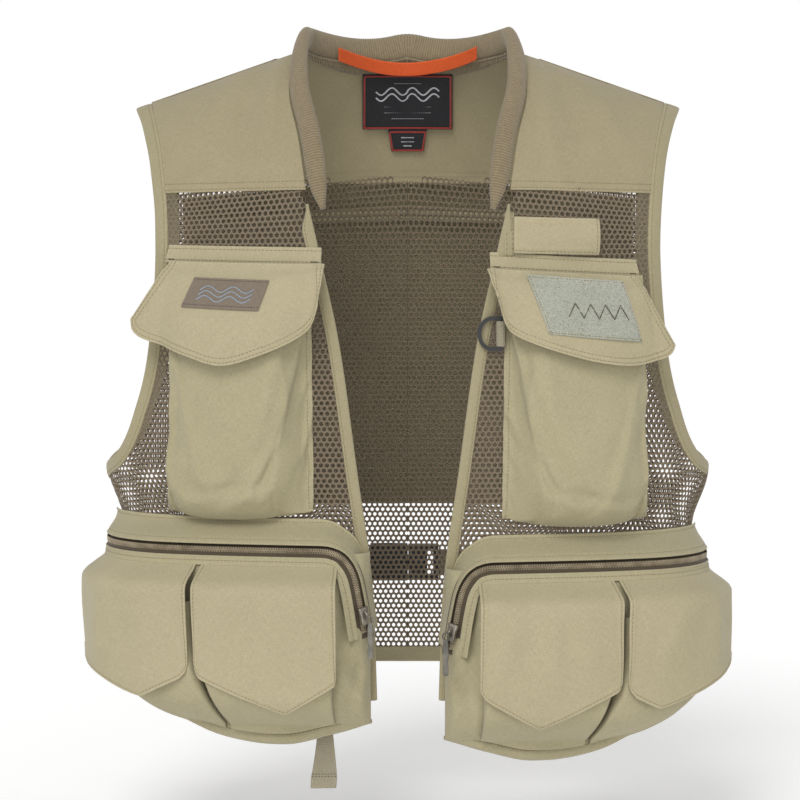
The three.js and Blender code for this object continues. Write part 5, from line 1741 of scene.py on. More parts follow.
# %% Fleece patch
PATCH_CORNERS = [(93.5, -146.5), (168.5, -152), (108, -191), (179, -198.5)]
points, q = plate_points(LEFT, PATCH_CORNERS, 1.6, 110, 80)
tuft = np.random.default_rng(5).normal(0, 0.28, points.shape[:2])
pile = waves(q[..., 0], q[..., 1], 97, 5, 0.3) + tuft
inside = smooth_step(edge_distance(points, ("u0", "u1", "v0", "v1")) / 3)
points = points + outward_normals(points) * (0.6 * inside + pile * inside)[..., None]
patch = shell("patch_fleece", points, 1.6, FLEECE)
finish_piece(patch, "chest_flap_left", "fly_patch", slot="fleece")
border = np.concatenate([q[:, 2], q[-3, 2:], q[::-1, -3], q[2, ::-1]])
path, up = line_on(LEFT, border[:, 0], border[:, 1], 1.9)
sew("chest_flap_left", path, up, pitch=2.4, length=1.9)
zig = np.linspace(0, 1, 9)
corner = np.array(PATCH_CORNERS, float)
middle = corner[0] * 0.35 + corner[3] * 0.15 + corner[2] * 0.5
spots = middle + (corner[1] - corner[0]) * (0.12 + zig[:, None] * 0.62)
spots[:, 1] += np.where(np.arange(9) % 2, 5.5, -5.5) + 4
run = np.linspace(0, 8, 200)
fine = np.stack([np.interp(run, np.arange(9), spots[:, k]) for k in (0, 1)], -1)
path, up = line_on(LEFT, fine[:, 0], fine[:, 1], 2.6)
sew("chest_flap_left", path, up, thread="dark", pitch=1.5, length=1.7, radius=0.4)
print("label and patch made")

# %% [markdown]
# ## Rod tab and ring
# On the left chest a tape is sewn upright beside the front edge, and a short tab folds from it
# over a patch of loops, to hold a rod. Below it a plastic ring hangs in a fold of webbing.

# %% Rod tab
def chest_strip(x0, x1, top, foot, lift, drop=0.0, nu=46, nv=24, bend=0.0):
    """A patch of the left front between two x and two heights, tilted by drop."""
    u, v = np.linspace(0, 1, nu), np.linspace(0, 1, nv)
    x = mix(x0, x1, u)[:, None] + 0 * v[None]
    z = mix(top, foot, v)[None] - drop * u[:, None]
    rise = lift + bend * np.sin(np.pi * v)[None] * u[:, None]
    return place(phi_at(x, z), level_at(z, x), rise)


grid = chest_strip(85, 142, -106, -128, 2.2)
piece = shell("tab_base", grid, 1.0, HOOK)
finish_piece(piece, "vest_body", "rod_tab_base", slot="hook_tape")
grid = raise_hem(chest_strip(82.6, 148, -103, -130, 3.8, 2.0, bend=2.2), ("v0", "v1", "u1"),
                 rows=(1.7,), fold=4)
piece = shell("tab_rod", grid, 1.5, FLAP_TAN)
sew_edges("rod_tab", grid, ("v1", "u1"), (1.7,))
finish_piece(piece, "rod_tab", "rod_tab", slot="flap_nylon")
declare_sheet(piece, grid)
grid = chest_strip(75.4, 82.2, -99.5, -132, 2.2, 0.0, 12, 40)
piece = shell("tab_tape", grid, 1.2, TAPE_TAN)
sew_grid("vest_body", grid, [("u", 2), ("u", 9)])
finish_piece(piece, "vest_body")

# %% Ring and its webbing
NODES["d_ring"].data.materials.clear()
NODES["d_ring"].data.materials.append(PLASTIC)
low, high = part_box("d_ring_webbing")
centre = (np.array(low) + np.array(high)) / 2 / MM
half = (np.array(high) - np.array(low)) / 2 / MM
turn = np.linspace(0.25 * np.pi, 1.75 * np.pi, 40)
height = np.linspace(-half[2], half[2], 26)
fold_x = centre[0] + half[0] * 0.98 * np.cos(turn)
fold_y = centre[1] + half[1] * 0.98 * np.sin(turn)
grid = np.stack(np.broadcast_arrays(fold_x[:, None], fold_y[:, None], centre[2] + height[None]), -1)
axis = centre * [1, 1, 0]
grid[..., 1] = np.maximum(grid[..., 1], centre[1] - half[1])
piece = shell("ring_webbing", grid, 1.2, WEBBING, outward=unit((grid - axis) * [1, 1, 0]))
finish_piece(piece, "vest_body", "d_ring_webbing", slot="webbing")
print("rod tab and ring made")

# %% [markdown]
# ## Cargo pockets
# The big pockets by the waist wrap round the side. A zip runs along the top and down a slanted
# gusset by the front edge; two small pouches sit on the front, each under a pointed flap. The
# pocket's stand-off from the net is one function of angle and height, and every layer on it adds
# its own lift, so the layers can't cross. The left pocket hangs a little lower than the right one.

# %% Depth of the cargo pocket
CARGO = {"inner": 29, "gusset": 50, "outer_phi": 84, "band": -338, "zip": -361, "foot": -500,
         "depth": 41, "side_depth": 11, "zip_lift": 25, "drop": 13, "split": 162}
GUSSET_PHI = float(phi_at(CARGO["gusset"], CARGO["foot"]))
INNER_PHI = float(phi_at(CARGO["inner"], CARGO["foot"]))
SPLIT_PHI = float(phi_at(CARGO["split"], CARGO["zip"], 30))


def cargo_depth(phi, z):
    """The front face, less on the gusset, tapering round the side and at the foot."""
    below_band = clamp01((CARGO["band"] - z) / (CARGO["band"] - CARGO["zip"]))
    slope = mix(1.0, CARGO["zip_lift"], below_band)
    front = mix(slope, CARGO["depth"], np.sin(clamp01((CARGO["zip"] - z) / 32) * math.pi / 2))
    rise = clamp01((np.abs(phi) - INNER_PHI) / (GUSSET_PHI - INNER_PHI))
    sideways = clamp01((np.abs(phi) - 48) / (CARGO["outer_phi"] - 48))
    taper = mix(1, CARGO["side_depth"] / CARGO["depth"], sideways**1.5)
    foot = clamp01((CARGO["foot"] + 30 - z) / 30)
    return front * mix(0.55, 1, rise) * taper * (1 - 0.6 * foot**2)


def on_cargo(side, phi, z, lift):
    """A point over the pocket; z is the right pocket's height, and the left one hangs lower."""
    drop = CARGO["drop"] if side == LEFT else 0
    return place(side * phi, z - drop - SPRING_Z, lift)


FOOT_LINE = smooth_through([(5, -498), (8, -501), (15, -509), (24, -517), (36, -513), (47, -499),
                            (57, -478), (66, -459), (84, -440)])


def cargo_foot(phi):
    """Height of the pocket's foot, lowest at one angle and higher towards the side."""
    return FOOT_LINE(np.abs(phi))[..., 0]


# %% Cargo pouches
def cargo_pouch_grid(side):
    """Up from the front edge's seam, over the gusset, round the front and down to the side seam;
    down to the base seam, and back under as a bottom panel."""
    u = np.concatenate([np.linspace(0, 0.3, 40), np.linspace(0.3, 1, 74)[1:]])
    v = np.linspace(0, 1, 100)
    across = rise_curve([(0, 0, 0), (0.05, 0.0, 0.6), (0.08, 0.015, 1), (0.955, 0.99, 1),
                         (0.98, 1.0, 0.6), (1, 0.995, 0)])
    down = rise_curve([(0, 0, 1), (0.86, 0.955, 1), (0.9, 0.985, 0.92), (0.95, 1.0, 0.55),
                       (1, 0.98, 0)])
    (a, rise_a), (b, rise_b) = across(u), down(v)
    phi = mix(INNER_PHI, CARGO["outer_phi"], a)[:, None] + 0 * v[None]
    foot = cargo_foot(phi)
    z = mix(CARGO["zip"] - 3, foot, b[None])
    rise = soft_min(rise_a[:, None] + 0 * z, rise_b[None] + 0 * z, 0.08)
    depth = cargo_depth(phi, z)
    bulge = 2.0 * np.sin(np.pi * clamp01((CARGO["zip"] - z) / 150))
    bulge = bulge * smooth_step((GUSSET_PHI + 6 - phi) / 14)
    x = on_form(phi, z - SPRING_Z)[..., 0]
    folds = crease(x, z, (44, -366), (50, -462), 6.0, -9.5)
    folds = folds + crease(x, z, (52, -400), (31, -440), 4.0, 4.2)
    folds = folds + crease(x, z, (52, -438), (27, -466), 4.5, -5.0)
    folds = folds + crease(x, z, (50, -452), (29, -490), 4.0, 4.4)
    folds = folds + crease(x, z, (33, -425), (46, -505), 4.5, -4.0)
    folds = folds + waves(x, z, 101 + side, 30, 0.8) * smooth_step((GUSSET_PHI + 1 - phi) / 3)
    base = smooth_step((foot + 16 - z) / 12)
    folds = folds + base * waves(phi * 3.2, z, 105 + side, 34, 1.1)
    lift = 2.0 + (depth - 2.0) * rise + (folds + bulge) * np.minimum(rise, 1)
    lift = lift - 0.7 * np.exp(-(((z - foot - 9) / 0.9) ** 2)) * rise
    return on_cargo(side, phi, z, lift), phi, z, foot


for side in (RIGHT, LEFT):
    name = SIDE_NAME[side]
    grid, phi, z, foot = cargo_pouch_grid(side)
    pins = border_pins(*grid.shape[:2])
    pins[(phi > GUSSET_PHI + 0.5) & (z > foot + 14)] = 1
    grid = billow(grid, pins, pressure=1.2, grow=0.03, cap=3.0)
    piece = shell(f"pouch_cargo_{name}", grid, 0.9, TAN)
    finish_piece(piece, "vest_body", f"cargo_pouch_{name}")
    start = int(np.argmin(np.abs(phi[:, 40] - GUSSET_PHI)))
    seam_row = [int(np.argmin(np.abs((z - foot)[i] - 9))) for i in range(start, len(z) - 8)]
    path = grid[np.arange(start, len(z) - 8), seam_row]
    up = outward_normals(grid)[np.arange(start, len(z) - 8), seam_row]
    sew("vest_body", path, up, sink=-0.25)
print("cargo pouches made")

# %% [markdown]
# ## Zips
# The zip follows the top of the pocket, turns the corner and ends half way down the gusset. Its
# centre line is a smooth curve of angle and height, and everything along it is a strip beside
# that curve: the tape, a tan flange on each side, and the band that joins the pocket to the net.
# The teeth of a coil zip are one small shape set down every 1.35 mm, in two rows that mesh.

# %% The zip's centre line
def zip_angle(x):
    """Angle round the trunk of a place x at the zip's height."""
    return float(phi_at(x, CARGO["zip"], 30))


ZIP_LINE = smooth_through([
    (0, CARGO["outer_phi"] - 1, -361), (0.3, 60, -361), (0.6, zip_angle(80), -361),
    (0.7, zip_angle(57), -363), (0.77, zip_angle(47), -371), (0.84, zip_angle(41), -385),
    (1, zip_angle(34), -429),
])


def zip_curve(t):
    """The curve on the form, as angle and level of the right pocket."""
    return ZIP_LINE(t) - [0, SPRING_Z]


UPWARD = 1 if beside(zip_curve, np.array([0.3]), 5)[0, 1] > zip_curve(np.array([0.3]))[0, 1] else -1


def zip_strip(side, offsets, lifts, t0=0.0, t1=1.0, count=190):
    """Grid along the zip between offsets, counted upwards from the zip's centre, in millimetres. A
    lift is a number added to the pocket's depth there, or a function of t that gives it all."""
    t = np.linspace(t0, t1, count)
    lines = []
    for offset, lift in zip(offsets, lifts):
        q = beside(zip_curve, t, UPWARD * np.broadcast_to(offset, t.shape))
        z = q[:, 1] + SPRING_Z
        over = lift(t) if callable(lift) else cargo_depth(q[:, 0], z) + lift
        lines.append(on_cargo(side, q[:, 0], z, over))
    return np.stack(lines, 1)


# %% Tape, teeth, flanges and band
def tooth(length=2.5, width=1.0, height=0.9):
    """A coil's loop: a rounded bar of six sides with a thicker head, 24 points in four rings."""
    turn = np.arange(6) * math.pi / 3
    rows = [(-0.5, 0.55), (-0.3, 0.95), (0.3, 0.95), (0.5, 1.15)]
    rings = [np.stack([np.full(6, s * length), k * width / 2 * np.cos(turn),
                       k * height / 2 * np.sin(turn)], -1)
             for s, k in rows]
    points, quads, triangles, _ = tube_arrays(np.array(rings))
    return points, quads, triangles


def teeth_parts(side, lift=3.3):
    """Teeth of both rows along the zip; the second row is turned about and shifted half a pitch."""
    t = np.linspace(0.004, 0.985, 900)
    q = zip_curve(t)
    z = q[:, 1] + SPRING_Z
    path = on_cargo(side, q[:, 0], z, cargo_depth(q[:, 0], z) + lift)
    ahead = on_cargo(side, q[:, 0], z, cargo_depth(q[:, 0], z) + lift + 1)
    base, quads, triangles = tooth()
    parts = []
    for turn in (1, -1):
        centres, forward = even_path(path, 1.35, 0.3 + 0.34 * (turn + 1))
        share, run = np.linspace(0, 1, len(centres)), np.linspace(0, 1, len(path))
        up = unit(np.stack([np.interp(share, run, (ahead - path)[:, k]) for k in range(3)], -1))
        cross = unit(np.cross(up, forward)) * turn
        frames = np.stack([-cross, np.cross(up, -cross), up], 1)
        placed, faces = copies(base, quads, centres + cross * 1.05, frames)
        _, caps = copies(base, triangles, centres + cross * 1.05, frames)
        parts.append((placed, faces, caps))
    return parts


def band_width(t):
    """The band's width: 17 mm along the top, narrowing to a third down the gusset."""
    return mix(17.5, 5.0, smooth_step((t - 0.62) / 0.2))


for side in (RIGHT, LEFT):
    name = SIDE_NAME[side]
    grid = zip_strip(side, [-6.5, -5, -2.5, 0, 2.5, 5, 6.5], [1.6, 1.9, 2.1, 2.1, 2.1, 1.9, 1.6])
    piece = shell(f"zip_tape_{name}", grid, 0.7, ZIP_TAPE)
    finish_piece(piece, "vest_body", f"cargo_zip_{name}", slot="zip_tape")
    points, quads, triangles = join_parts(teeth_parts(side))
    coil = make_object(f"zip_coil_{name}", points, quads, triangles, uv=points[:, :2],
                       rim=FAR_FROM_RIM, material=COIL)
    finish_piece(coil, "vest_body", slot="zip_tape")

    across = np.linspace(0, 1, 12)
    offsets = -4.4 - 6.8 * across
    lifts = [2.5 + 0.8 * math.exp(-(((s - 0.09) / 0.13) ** 2)) - 0.5 * float(smooth_step(s * 1.1))
             for s in across]
    flange = zip_strip(side, offsets, lifts)
    piece = shell(f"zip_flange_{name}", flange, 0.9, TAN)
    sew_grid("vest_body", flange, [("v", 6)])
    finish_piece(piece, "vest_body")

    across = np.concatenate([np.linspace(0, 0.3, 9), np.linspace(0.3, 1, 16)[1:]])
    offsets = [4.6 + s * band_width(np.linspace(0, 1, 190) * 0.985) for s in across]

    def band_lift(s):
        """From the pocket's depth down to the net, with two thick folds and two grooves."""

        def bell(at, width):
            return math.exp(-(((s - at) / width) ** 2))

        def lift(t):
            q = zip_curve(t)
            centre = cargo_depth(q[:, 0], q[:, 1] + SPRING_Z)
            fall = mix(centre + 2.9, 2.2, smooth_step(s * 0.93 + 0.07) ** 1.1)
            fold = 0.9 * bell(0.04, 0.06) + 0.5 * bell(0.97, 0.08)
            return fall + fold - 0.45 * bell(0.2, 0.025) - 0.45 * bell(0.84, 0.03)

        return lift

    band = zip_strip(side, offsets, [band_lift(s) for s in across], t1=0.985)
    piece = shell(f"band_cargo_{name}", band, 1.0, TAN)
    for share in (0.2, 0.84):
        sew_grid("vest_body", band, [("v", int(np.argmin(np.abs(across - share))))])
    finish_piece(piece, "vest_body", f"cargo_band_{name}")
print("zips made")

# %% [markdown]
# ## Small pouches and their flaps
# Each small pouch is sewn into the base seam and stands off least there. Its flap is a pointed
# shield whose top edge is caught under the zip's lower flange; it rises over the pouch's mouth in
# an S and hangs in soft folds that fan out from the seam.

# %% Small pouches
SMALL = {"inner": (GUSSET_PHI + 1.4, SPLIT_PHI - 0.45),
         "outer": (SPLIT_PHI + 0.75, CARGO["outer_phi"] - 1)}


def small_pouch_grid(side, part):
    """Front and walls; the seam between the two pouches leans in towards the foot."""
    start, stop = SMALL[part]
    u, v = np.linspace(0, 1, 64), np.linspace(0, 1, 70)
    across = rise_curve([(0, 0, 0), (0.04, 0.0, 0.55), (0.08, 0.02, 1), (0.92, 0.98, 1),
                         (0.96, 1, 0.55), (1, 1, 0)])
    down = rise_curve([(0, 0, 0.9), (0.04, 0.03, 1), (0.55, 0.6, 1), (0.96, 0.99, 0.3),
                       (1, 0.995, 0)])
    (a, rise_a), (b, rise_b) = across(u), down(v)
    lean = 4.2 * smooth_step(v * 1.3 - 0.3)[None]
    left = start - (lean if part == "outer" else 0)
    right = stop - (lean if part == "inner" else 0)
    phi = mix(left, right, a[:, None]) + 0 * v[None]
    z = mix(-400, cargo_foot(phi) + 9, b[None])
    rise = soft_min(rise_a[:, None] + 0 * z, rise_b[None] + 0 * z, 0.1)
    soft = waves(phi * 3.0, z, 111 + side + len(part), 46, 0.8) * rise
    return on_cargo(side, phi, z, cargo_depth(phi, z) + 1.4 + 13.2 * rise + soft)


for side in (RIGHT, LEFT):
    for part in SMALL:
        name = f"{part}_{SIDE_NAME[side]}"
        grid = small_pouch_grid(side, part)
        grid = billow(grid, border_pins(*grid.shape[:2]), pressure=1.0, grow=0.03, cap=2.0,
                      frames=12)
        piece = shell(f"pouch_small_{name}", grid, 0.9, TAN)
        finish_piece(piece, "vest_body", f"small_pouch_{name}")

# %% Cargo flaps
FLAP_TOP = -365.5
FLAP_FEET = {
    ("inner", RIGHT): [(0, 0.0, -457), (0.06, 0.01, -463), (0.37, 0.36, -487), (0.92, 0.965, -459),
                       (0.97, 0.99, -453), (1, 1, -447)],
    ("outer", RIGHT): [(0, 0, -448), (0.05, 0.01, -455), (0.12, 0.035, -460), (0.4, 0.22, -476),
                       (0.95, 0.93, -446), (1, 0.97, -439)],
    ("inner", LEFT): [(0, 0.0, -453), (0.06, 0.03, -460), (0.1, 0.08, -464), (0.45, 0.42, -486),
                      (0.95, 0.975, -457), (1, 1, -450)],
    ("outer", LEFT): [(0, 0, -450), (0.05, 0.01, -457), (0.12, 0.03, -462), (0.36, 0.14, -472),
                      (0.93, 0.88, -439), (1, 0.95, -430)],
}


def linear_through(rows, share):
    """Straight lines through rows, slightly rounded by a running mean of the shares."""
    rows = np.array(rows, float)
    near = share[:, None] + np.linspace(-0.012, 0.012, 9)[None]
    near = np.clip(near, 0, 1)
    return [np.interp(near, rows[:, 0], rows[:, k]).mean(1) for k in (1, 2)]


def cargo_flap_grid(side, part):
    """Phi runs between the flap's sides and z from the seam to the pointed foot."""
    start, stop = SMALL[part]
    start, stop = (start - 0.9, stop) if part == "inner" else (start, stop)
    u, v = spread(140, fine=0.75), spread(98, fine=0.75)
    share, foot = linear_through(FLAP_FEET[(part, side)], u)
    narrow = mix(u[:, None], share[:, None], v[None] ** 2)
    phi = mix(start, stop, narrow)
    z = mix(FLAP_TOP, foot[:, None], v[None])
    rise = smooth_step((FLAP_TOP - 5.0 - z) / 17)
    lift = cargo_depth(phi, z) + 0.9 + 16.6 * rise
    draw = np.random.default_rng(121 + side * 3 + len(part))
    folds = 0
    for k in range(5):
        at = (k + 0.6 + draw.uniform(-0.2, 0.2)) / 5.4
        top = (mix(start, stop, 0.5 + (at - 0.5) * 0.55) * 3.0, FLAP_TOP - 16)
        low = (mix(start, stop, at) * 3.0, FLAP_TOP - 95)
        wide, high = draw.uniform(4.5, 8), draw.uniform(0.7, 1.4) * (-1) ** k
        folds = folds + crease(phi * 3.0, z, top, low, wide, high)
    folds = folds + waves(phi * 3.0, z, 131 + side + len(part), 60, 0.6)
    near_end = 1.6 * smooth_step((0.12 - u[:, None]) / 0.12) * v[None]
    far_end = 1.6 * smooth_step((u[:, None] - 0.88) / 0.12) * v[None]
    edge = near_end + far_end
    return on_cargo(side, phi, z, lift + folds * rise - edge * rise)


for side in (RIGHT, LEFT):
    for part in SMALL:
        name = f"{part}_{SIDE_NAME[side]}"
        body = f"cargo_flap_{name}"
        grid = raise_hem(cargo_flap_grid(side, part), ("u0", "u1", "v1"), fold=4.5, rows=(2.2,))
        piece = shell(f"flap_cargo_{name}", grid, 1.3, FLAP_TAN)
        sew_edges(body, grid, ("u0", "v1", "u1"), (2.2,))
        finish_piece(piece, body, f"cargo_flap_{name}", slot="flap_nylon")
        declare_sheet(piece, grid)
print("small pouches and flaps made")

# %% [markdown]
# ## Zip sliders and pulls
# A slider is a cast body, narrower in the waist, with a bridge over it; a ring hangs in the
# bridge and carries a long tab. The body is a stack of rounded cross-sections. Each is built flat,
# in millimetres about the slider's centre, and is then set on the zip in the direction of its
# run. The pull hangs straight down, as gravity leaves it.

# %% Slider and pull shapes
ZIP_PARK, ZIP_TOP = 0.935, 0.86


def on_zip(side, t, sideways=0.0):
    """A point on top of the zip's chain, or sideways of it."""
    q = beside(zip_curve, np.array([t]), sideways)[0] if sideways else zip_curve(np.array([t]))[0]
    z = q[1] + SPRING_Z
    return on_cargo(side, q[0], z, float(cargo_depth(q[0], z)) + 4.2)


def slider_frame(side):
    """Where the slider is parked and its axes: right, face (towards the viewer) and up the zip."""
    park = on_zip(side, ZIP_PARK)
    up = unit(on_zip(side, ZIP_TOP) - park)
    right = on_zip(side, ZIP_PARK, 4.5) - on_zip(side, ZIP_PARK, -4.5)
    right = unit(right - up * (right @ up))
    right = -right if right[0] < 0 else right
    face = unit(np.cross(up, right))
    face = -face if face[1] > 0 else face
    return park, np.stack([np.cross(face, up), face, up])


def rounded_ring(width, depth, sides=20, power=0.55):
    """A superellipse: |cos|^power and |sin|^power with their signs."""
    turn = np.arange(sides) * 2 * math.pi / sides
    c, s = np.cos(turn), np.sin(turn)
    return np.stack([np.sign(c) * np.abs(c) ** power * width / 2,
                     np.sign(s) * np.abs(s) ** power * depth / 2], -1)


def bar_rings(rows, sides=20, power=0.55):
    """Rings along z through rows of (z, width, depth, y)."""
    rings = []
    for z, width, depth, y in rows:
        ring = rounded_ring(width, depth, sides, power)
        rings.append(np.stack([ring[:, 0], ring[:, 1] + y, np.full(sides, z)], -1))
    return np.array(rings)


def arch_rings(start, end, rise, width, thick, rows=18):
    """A bridge along z that stands up in y as a half sine between two feet."""
    rings = []
    for s in np.linspace(0, 1, rows):
        turn = math.pi * s
        centre = np.array([0, rise * math.sin(turn), mix(start, end, s)])
        out = unit(np.array([0.0, math.sin(turn) + 0.2, -math.cos(turn)]))
        ring = rounded_ring(width, thick, 10)
        rings.append(centre + np.outer(ring[:, 0], [1, 0, 0]) + np.outer(ring[:, 1], out))
    return np.array(rings)


def hoop_rings(radius_x, radius_z, wire, rows=40, sides=10):
    """A closed wire ring in the plane of x and z."""
    turn = np.linspace(0, 2 * math.pi, rows)
    centre = np.stack([radius_x * np.cos(turn), 0 * turn, radius_z * np.sin(turn)], -1)
    out = unit(np.stack([np.cos(turn) / radius_x, 0 * turn, np.sin(turn) / radius_z], -1))
    around = np.arange(sides) * 2 * math.pi / sides
    return centre[:, None] + wire * (out[:, None] * np.cos(around)[None, :, None]
                                     + np.array([0, 1, 0]) * np.sin(around)[None, :, None])


def solid_parts(*ring_sets):
    """One mesh part for each set of rings."""
    return [tube_arrays(rings)[:3] for rings in ring_sets]


SLIDER = solid_parts(
    bar_rings([(-7.0, 5.4, 2.6, 3.2), (-6.6, 6.6, 3.6, 3.2), (-3.0, 7.4, 4.0, 3.2),
               (0.5, 7.0, 4.0, 3.2),
               (4.0, 8.6, 4.0, 3.2), (6.4, 9.0, 3.7, 3.2), (7.0, 7.8, 2.6, 3.2)]),
    arch_rings(-3.4, 4.6, 3.6, 2.3, 1.3) + np.array([0, 5.0, 0]),
)
PULL_PARTS = solid_parts(
    hoop_rings(2.3, 3.0, 0.55) + np.array([0, 0, -2.2]),
    bar_rings([(-4.6, 2.4, 1.2, 0), (-5.4, 3.6, 1.6, 0), (-8, 4.4, 1.6, 0), (-20, 4.4, 1.5, 0),
               (-22, 3.7, 1.2, 0), (-24, 3.7, 1.2, 0), (-26, 4.4, 1.5, 0), (-31.5, 4.4, 1.6, 0),
               (-32.6, 3.6, 1.5, 0), (-33.0, 2.2, 1.0, 0)]),
)

for side in (RIGHT, LEFT):
    name = SIDE_NAME[side]
    park, axes = slider_frame(side)
    points, quads, triangles = join_parts(SLIDER)
    body = make_object(f"slider_{name}", points @ axes + park, quads, triangles, uv=points[:, :2],
                       rim=FAR_FROM_RIM, material=METAL)
    finish_piece(body, f"zip_slider_{name}", f"zip_slider_{name}", slot="slider_metal")
    eye = park + np.array([0, 1.2 + 4 + 6.4, 0]) @ axes
    points, quads, triangles = join_parts(PULL_PARTS)
    tab = make_object(f"pull_{name}", points + eye, quads, triangles, uv=points[:, :2],
                      rim=FAR_FROM_RIM, material=PULL)
    finish_piece(tab, f"zip_pull_{name}", f"zip_pull_{name}", slot="slider_metal")
print("sliders and pulls made")

# %% [markdown]
# ## Inside the neck
# A woven label with a stitched red border is sewn inside the back of the neck, with a small tab
# under it. The label carries plain silver waves and the tab plain bars. The hanger is an orange
# ribbon that droops between its two ends.

# %% Neck labels
def inside_neck(x, z, lift):
    """A point inside the back of the neck; the lift counts inward from the yoke's lining."""
    angle = phi_at(np.abs(x), np.minimum(z, SPRING_Z))
    return place(np.sign(x + 1e-9) * (180 - angle), level_at(z, x), -2.6 - lift)


def neck_plate(half_top, half_foot, top, foot, lift, nu=50, nv=30):
    """Grid of a label: half width from half_top to half_foot, drooping by 0.8 sin(pi v)."""
    u, v = np.linspace(-1, 1, nu), np.linspace(0, 1, nv)
    x = u[:, None] * mix(half_top, half_foot, v)[None]
    z = mix(top, foot, v)[None] + 0 * x
    droop = 0.8 * np.sin(math.pi * v)[None] * np.cos(math.pi / 2 * u)[:, None]
    return inside_neck(x, z, lift + droop), x, z


def inside_sew(path_x, path_z, lift, thread, **settings):
    """Stitches on the inside of the neck, lying away from the lining."""
    path = inside_neck(path_x, path_z, lift)
    sew("vest_body", path, unit(inside_neck(path_x, path_z, lift + 1) - path), thread, **settings)


def rim_path(half_top, half_foot, top, foot, inset=0.0, rows=60):
    """Once round a trapezoid's edge."""
    s = np.linspace(0, 1, rows)
    a, b = half_top - inset, half_foot - inset
    t, f = top - inset, foot + inset
    x = np.concatenate([mix(-a, a, s), mix(a, b, s), mix(b, -b, s), mix(-b, -a, s)])
    z = np.concatenate([mix(t, t, s), mix(t, f, s), mix(f, f, s), mix(f, t, s)])
    return x, z


LABEL_TOP, LABEL_FOOT, LABEL_HALF = 12, -34, 37.5
grid, _, _ = neck_plate(LABEL_HALF, LABEL_HALF, LABEL_TOP, LABEL_FOOT, 1.0)
piece = shell("label_neck", grid, 0.8, LABEL_BLACK, outward=-form_direction(grid))
finish_piece(piece, "vest_body", "neck_label", slot="black_label")
grid, _, _ = neck_plate(16, 13.5, LABEL_FOOT - 0.5, LABEL_FOOT - 18.5, 1.0, 24, 16)
piece = shell("label_size", grid, 0.8, LABEL_BLACK, outward=-form_direction(grid))
finish_piece(piece, "vest_body", "size_label", slot="black_label")
for rim_x, rim_z in (rim_path(LABEL_HALF, LABEL_HALF, LABEL_TOP, LABEL_FOOT, 1.2),
                     rim_path(16, 13.5, LABEL_FOOT - 1.5, LABEL_FOOT - 18.5, 0.8)):
    inside_sew(rim_x, rim_z, 1.5, "red", pitch=0.85, length=1.5, radius=0.8)
across = np.linspace(-27, 27, 220)
for height in (-2, -7):
    inside_sew(across, height + 3.0 * np.sin(across * 0.35), 1.4, "silver",
               pitch=0.7, length=1.4, radius=0.75)
for height, half_length in ((4.5, 12), (-15, 20), (-20, 20), (-25, 14)):
    inside_sew(np.linspace(-half_length, half_length, 60), np.full(60, float(height)), 1.4,
               "silver",
               pitch=1.6, length=1.1, radius=0.3)
for height, half_length in ((LABEL_FOOT - 7, 6), (LABEL_FOOT - 10.5, 6), (LABEL_FOOT - 14, 4)):
    inside_sew(np.linspace(-half_length, half_length, 30), np.full(30, float(height)), 1.4,
               "silver",
               pitch=0.8, length=1.4, radius=0.55)

# %% Hanger
def hanger_grid():
    """The ribbon's middle droops as 1 - s^2; its width leans out more at the ends."""
    s, w = np.linspace(-1, 1, 90), np.linspace(-0.5, 0.5, 12)
    seam = neck_back(np.array([1 - 56 / NECK_HALF_WIDTH]))[0]
    end = place(seam[0], seam[1] - 6)
    middle = on_form(180, level_at(27 - 21))
    bow = 1 - s**2
    y = mix(end[1], middle[1] - 12, bow) - 3
    twist = 0.35 * s**3 + 0.12 * np.sin(5 * s)
    ripple = 0.6 * np.sin(9 * s + 1)
    x = np.broadcast_to((s * 56)[:, None], (90, 12))
    depth = y[:, None] + ripple[:, None] + w[None] * (2.6 + 3.0 * np.abs(s)[:, None])
    height = (26.5 - 12.5 * bow)[:, None] - w[None] * 10.4 + twist[:, None] * 2
    return np.stack([x, depth, height], -1)


grid = hanger_grid()
facing = np.zeros_like(grid) + [0, -1.0, 0.2]
piece = shell("loop_hanger", grid, 0.9, ORANGE, outward=facing)
finish_piece(piece, "hang_loop", "hang_loop", slot="orange_ribbon")
declare_sheet(piece, grid)
print("neck labels and hanger made")

# %% [markdown]
# ## Back pocket, belt and strap
# A wide flat pocket covers the back from the yoke to the waist; from the front it is what darkens
# the net. The belt is flat webbing with a side-release buckle in the middle. A tapered tail of
# webbing hangs below the right pocket.

# %% Back pocket
BACK = {"half": 188, "top": -76, "foot": -349, "depth": 24}
BACK_PHI = float(phi_at(BACK["half"], -220))


def back_pocket_grid():
    """A pillow over the back net: 1 - |s|^3 / 2 across and down, sewn flat at its edges."""
    u, v = np.linspace(-1, 1, 150), np.linspace(0, 1, 96)
    top, foot = float(level_at(BACK["top"])), float(level_at(BACK["foot"]))
    level = mix(top, foot, v)[None] + 0 * u[:, None]
    phi = 180 - u[:, None] * BACK_PHI + 0 * v[None]
    side_wall = clamp01((1 - np.abs(u)) / 0.03)[:, None]
    wall = side_wall * clamp01((1 - v) / 0.05)[None] * clamp01(v / 0.02 + 0.25)[None]
    depth = (BACK["depth"] - 3) * (1 - 0.5 * np.abs(u)[:, None] ** 3)
    depth = depth * (1 - 0.5 * np.abs(2 * v - 1)[None] ** 3)
    arc = u[:, None] * BACK["half"] + 0 * level
    soft = waves(arc, level, 141, 90, 2.2) * wall
    soft = soft + crease(arc, level, (-150, -60), (-60, -200), 9, 2.2)
    soft = soft + crease(arc, level, (150, -50), (70, -190), 9, 2.2)
    return place(phi, level, 3.0 + (depth + soft) * np.sin(wall * math.pi / 2))


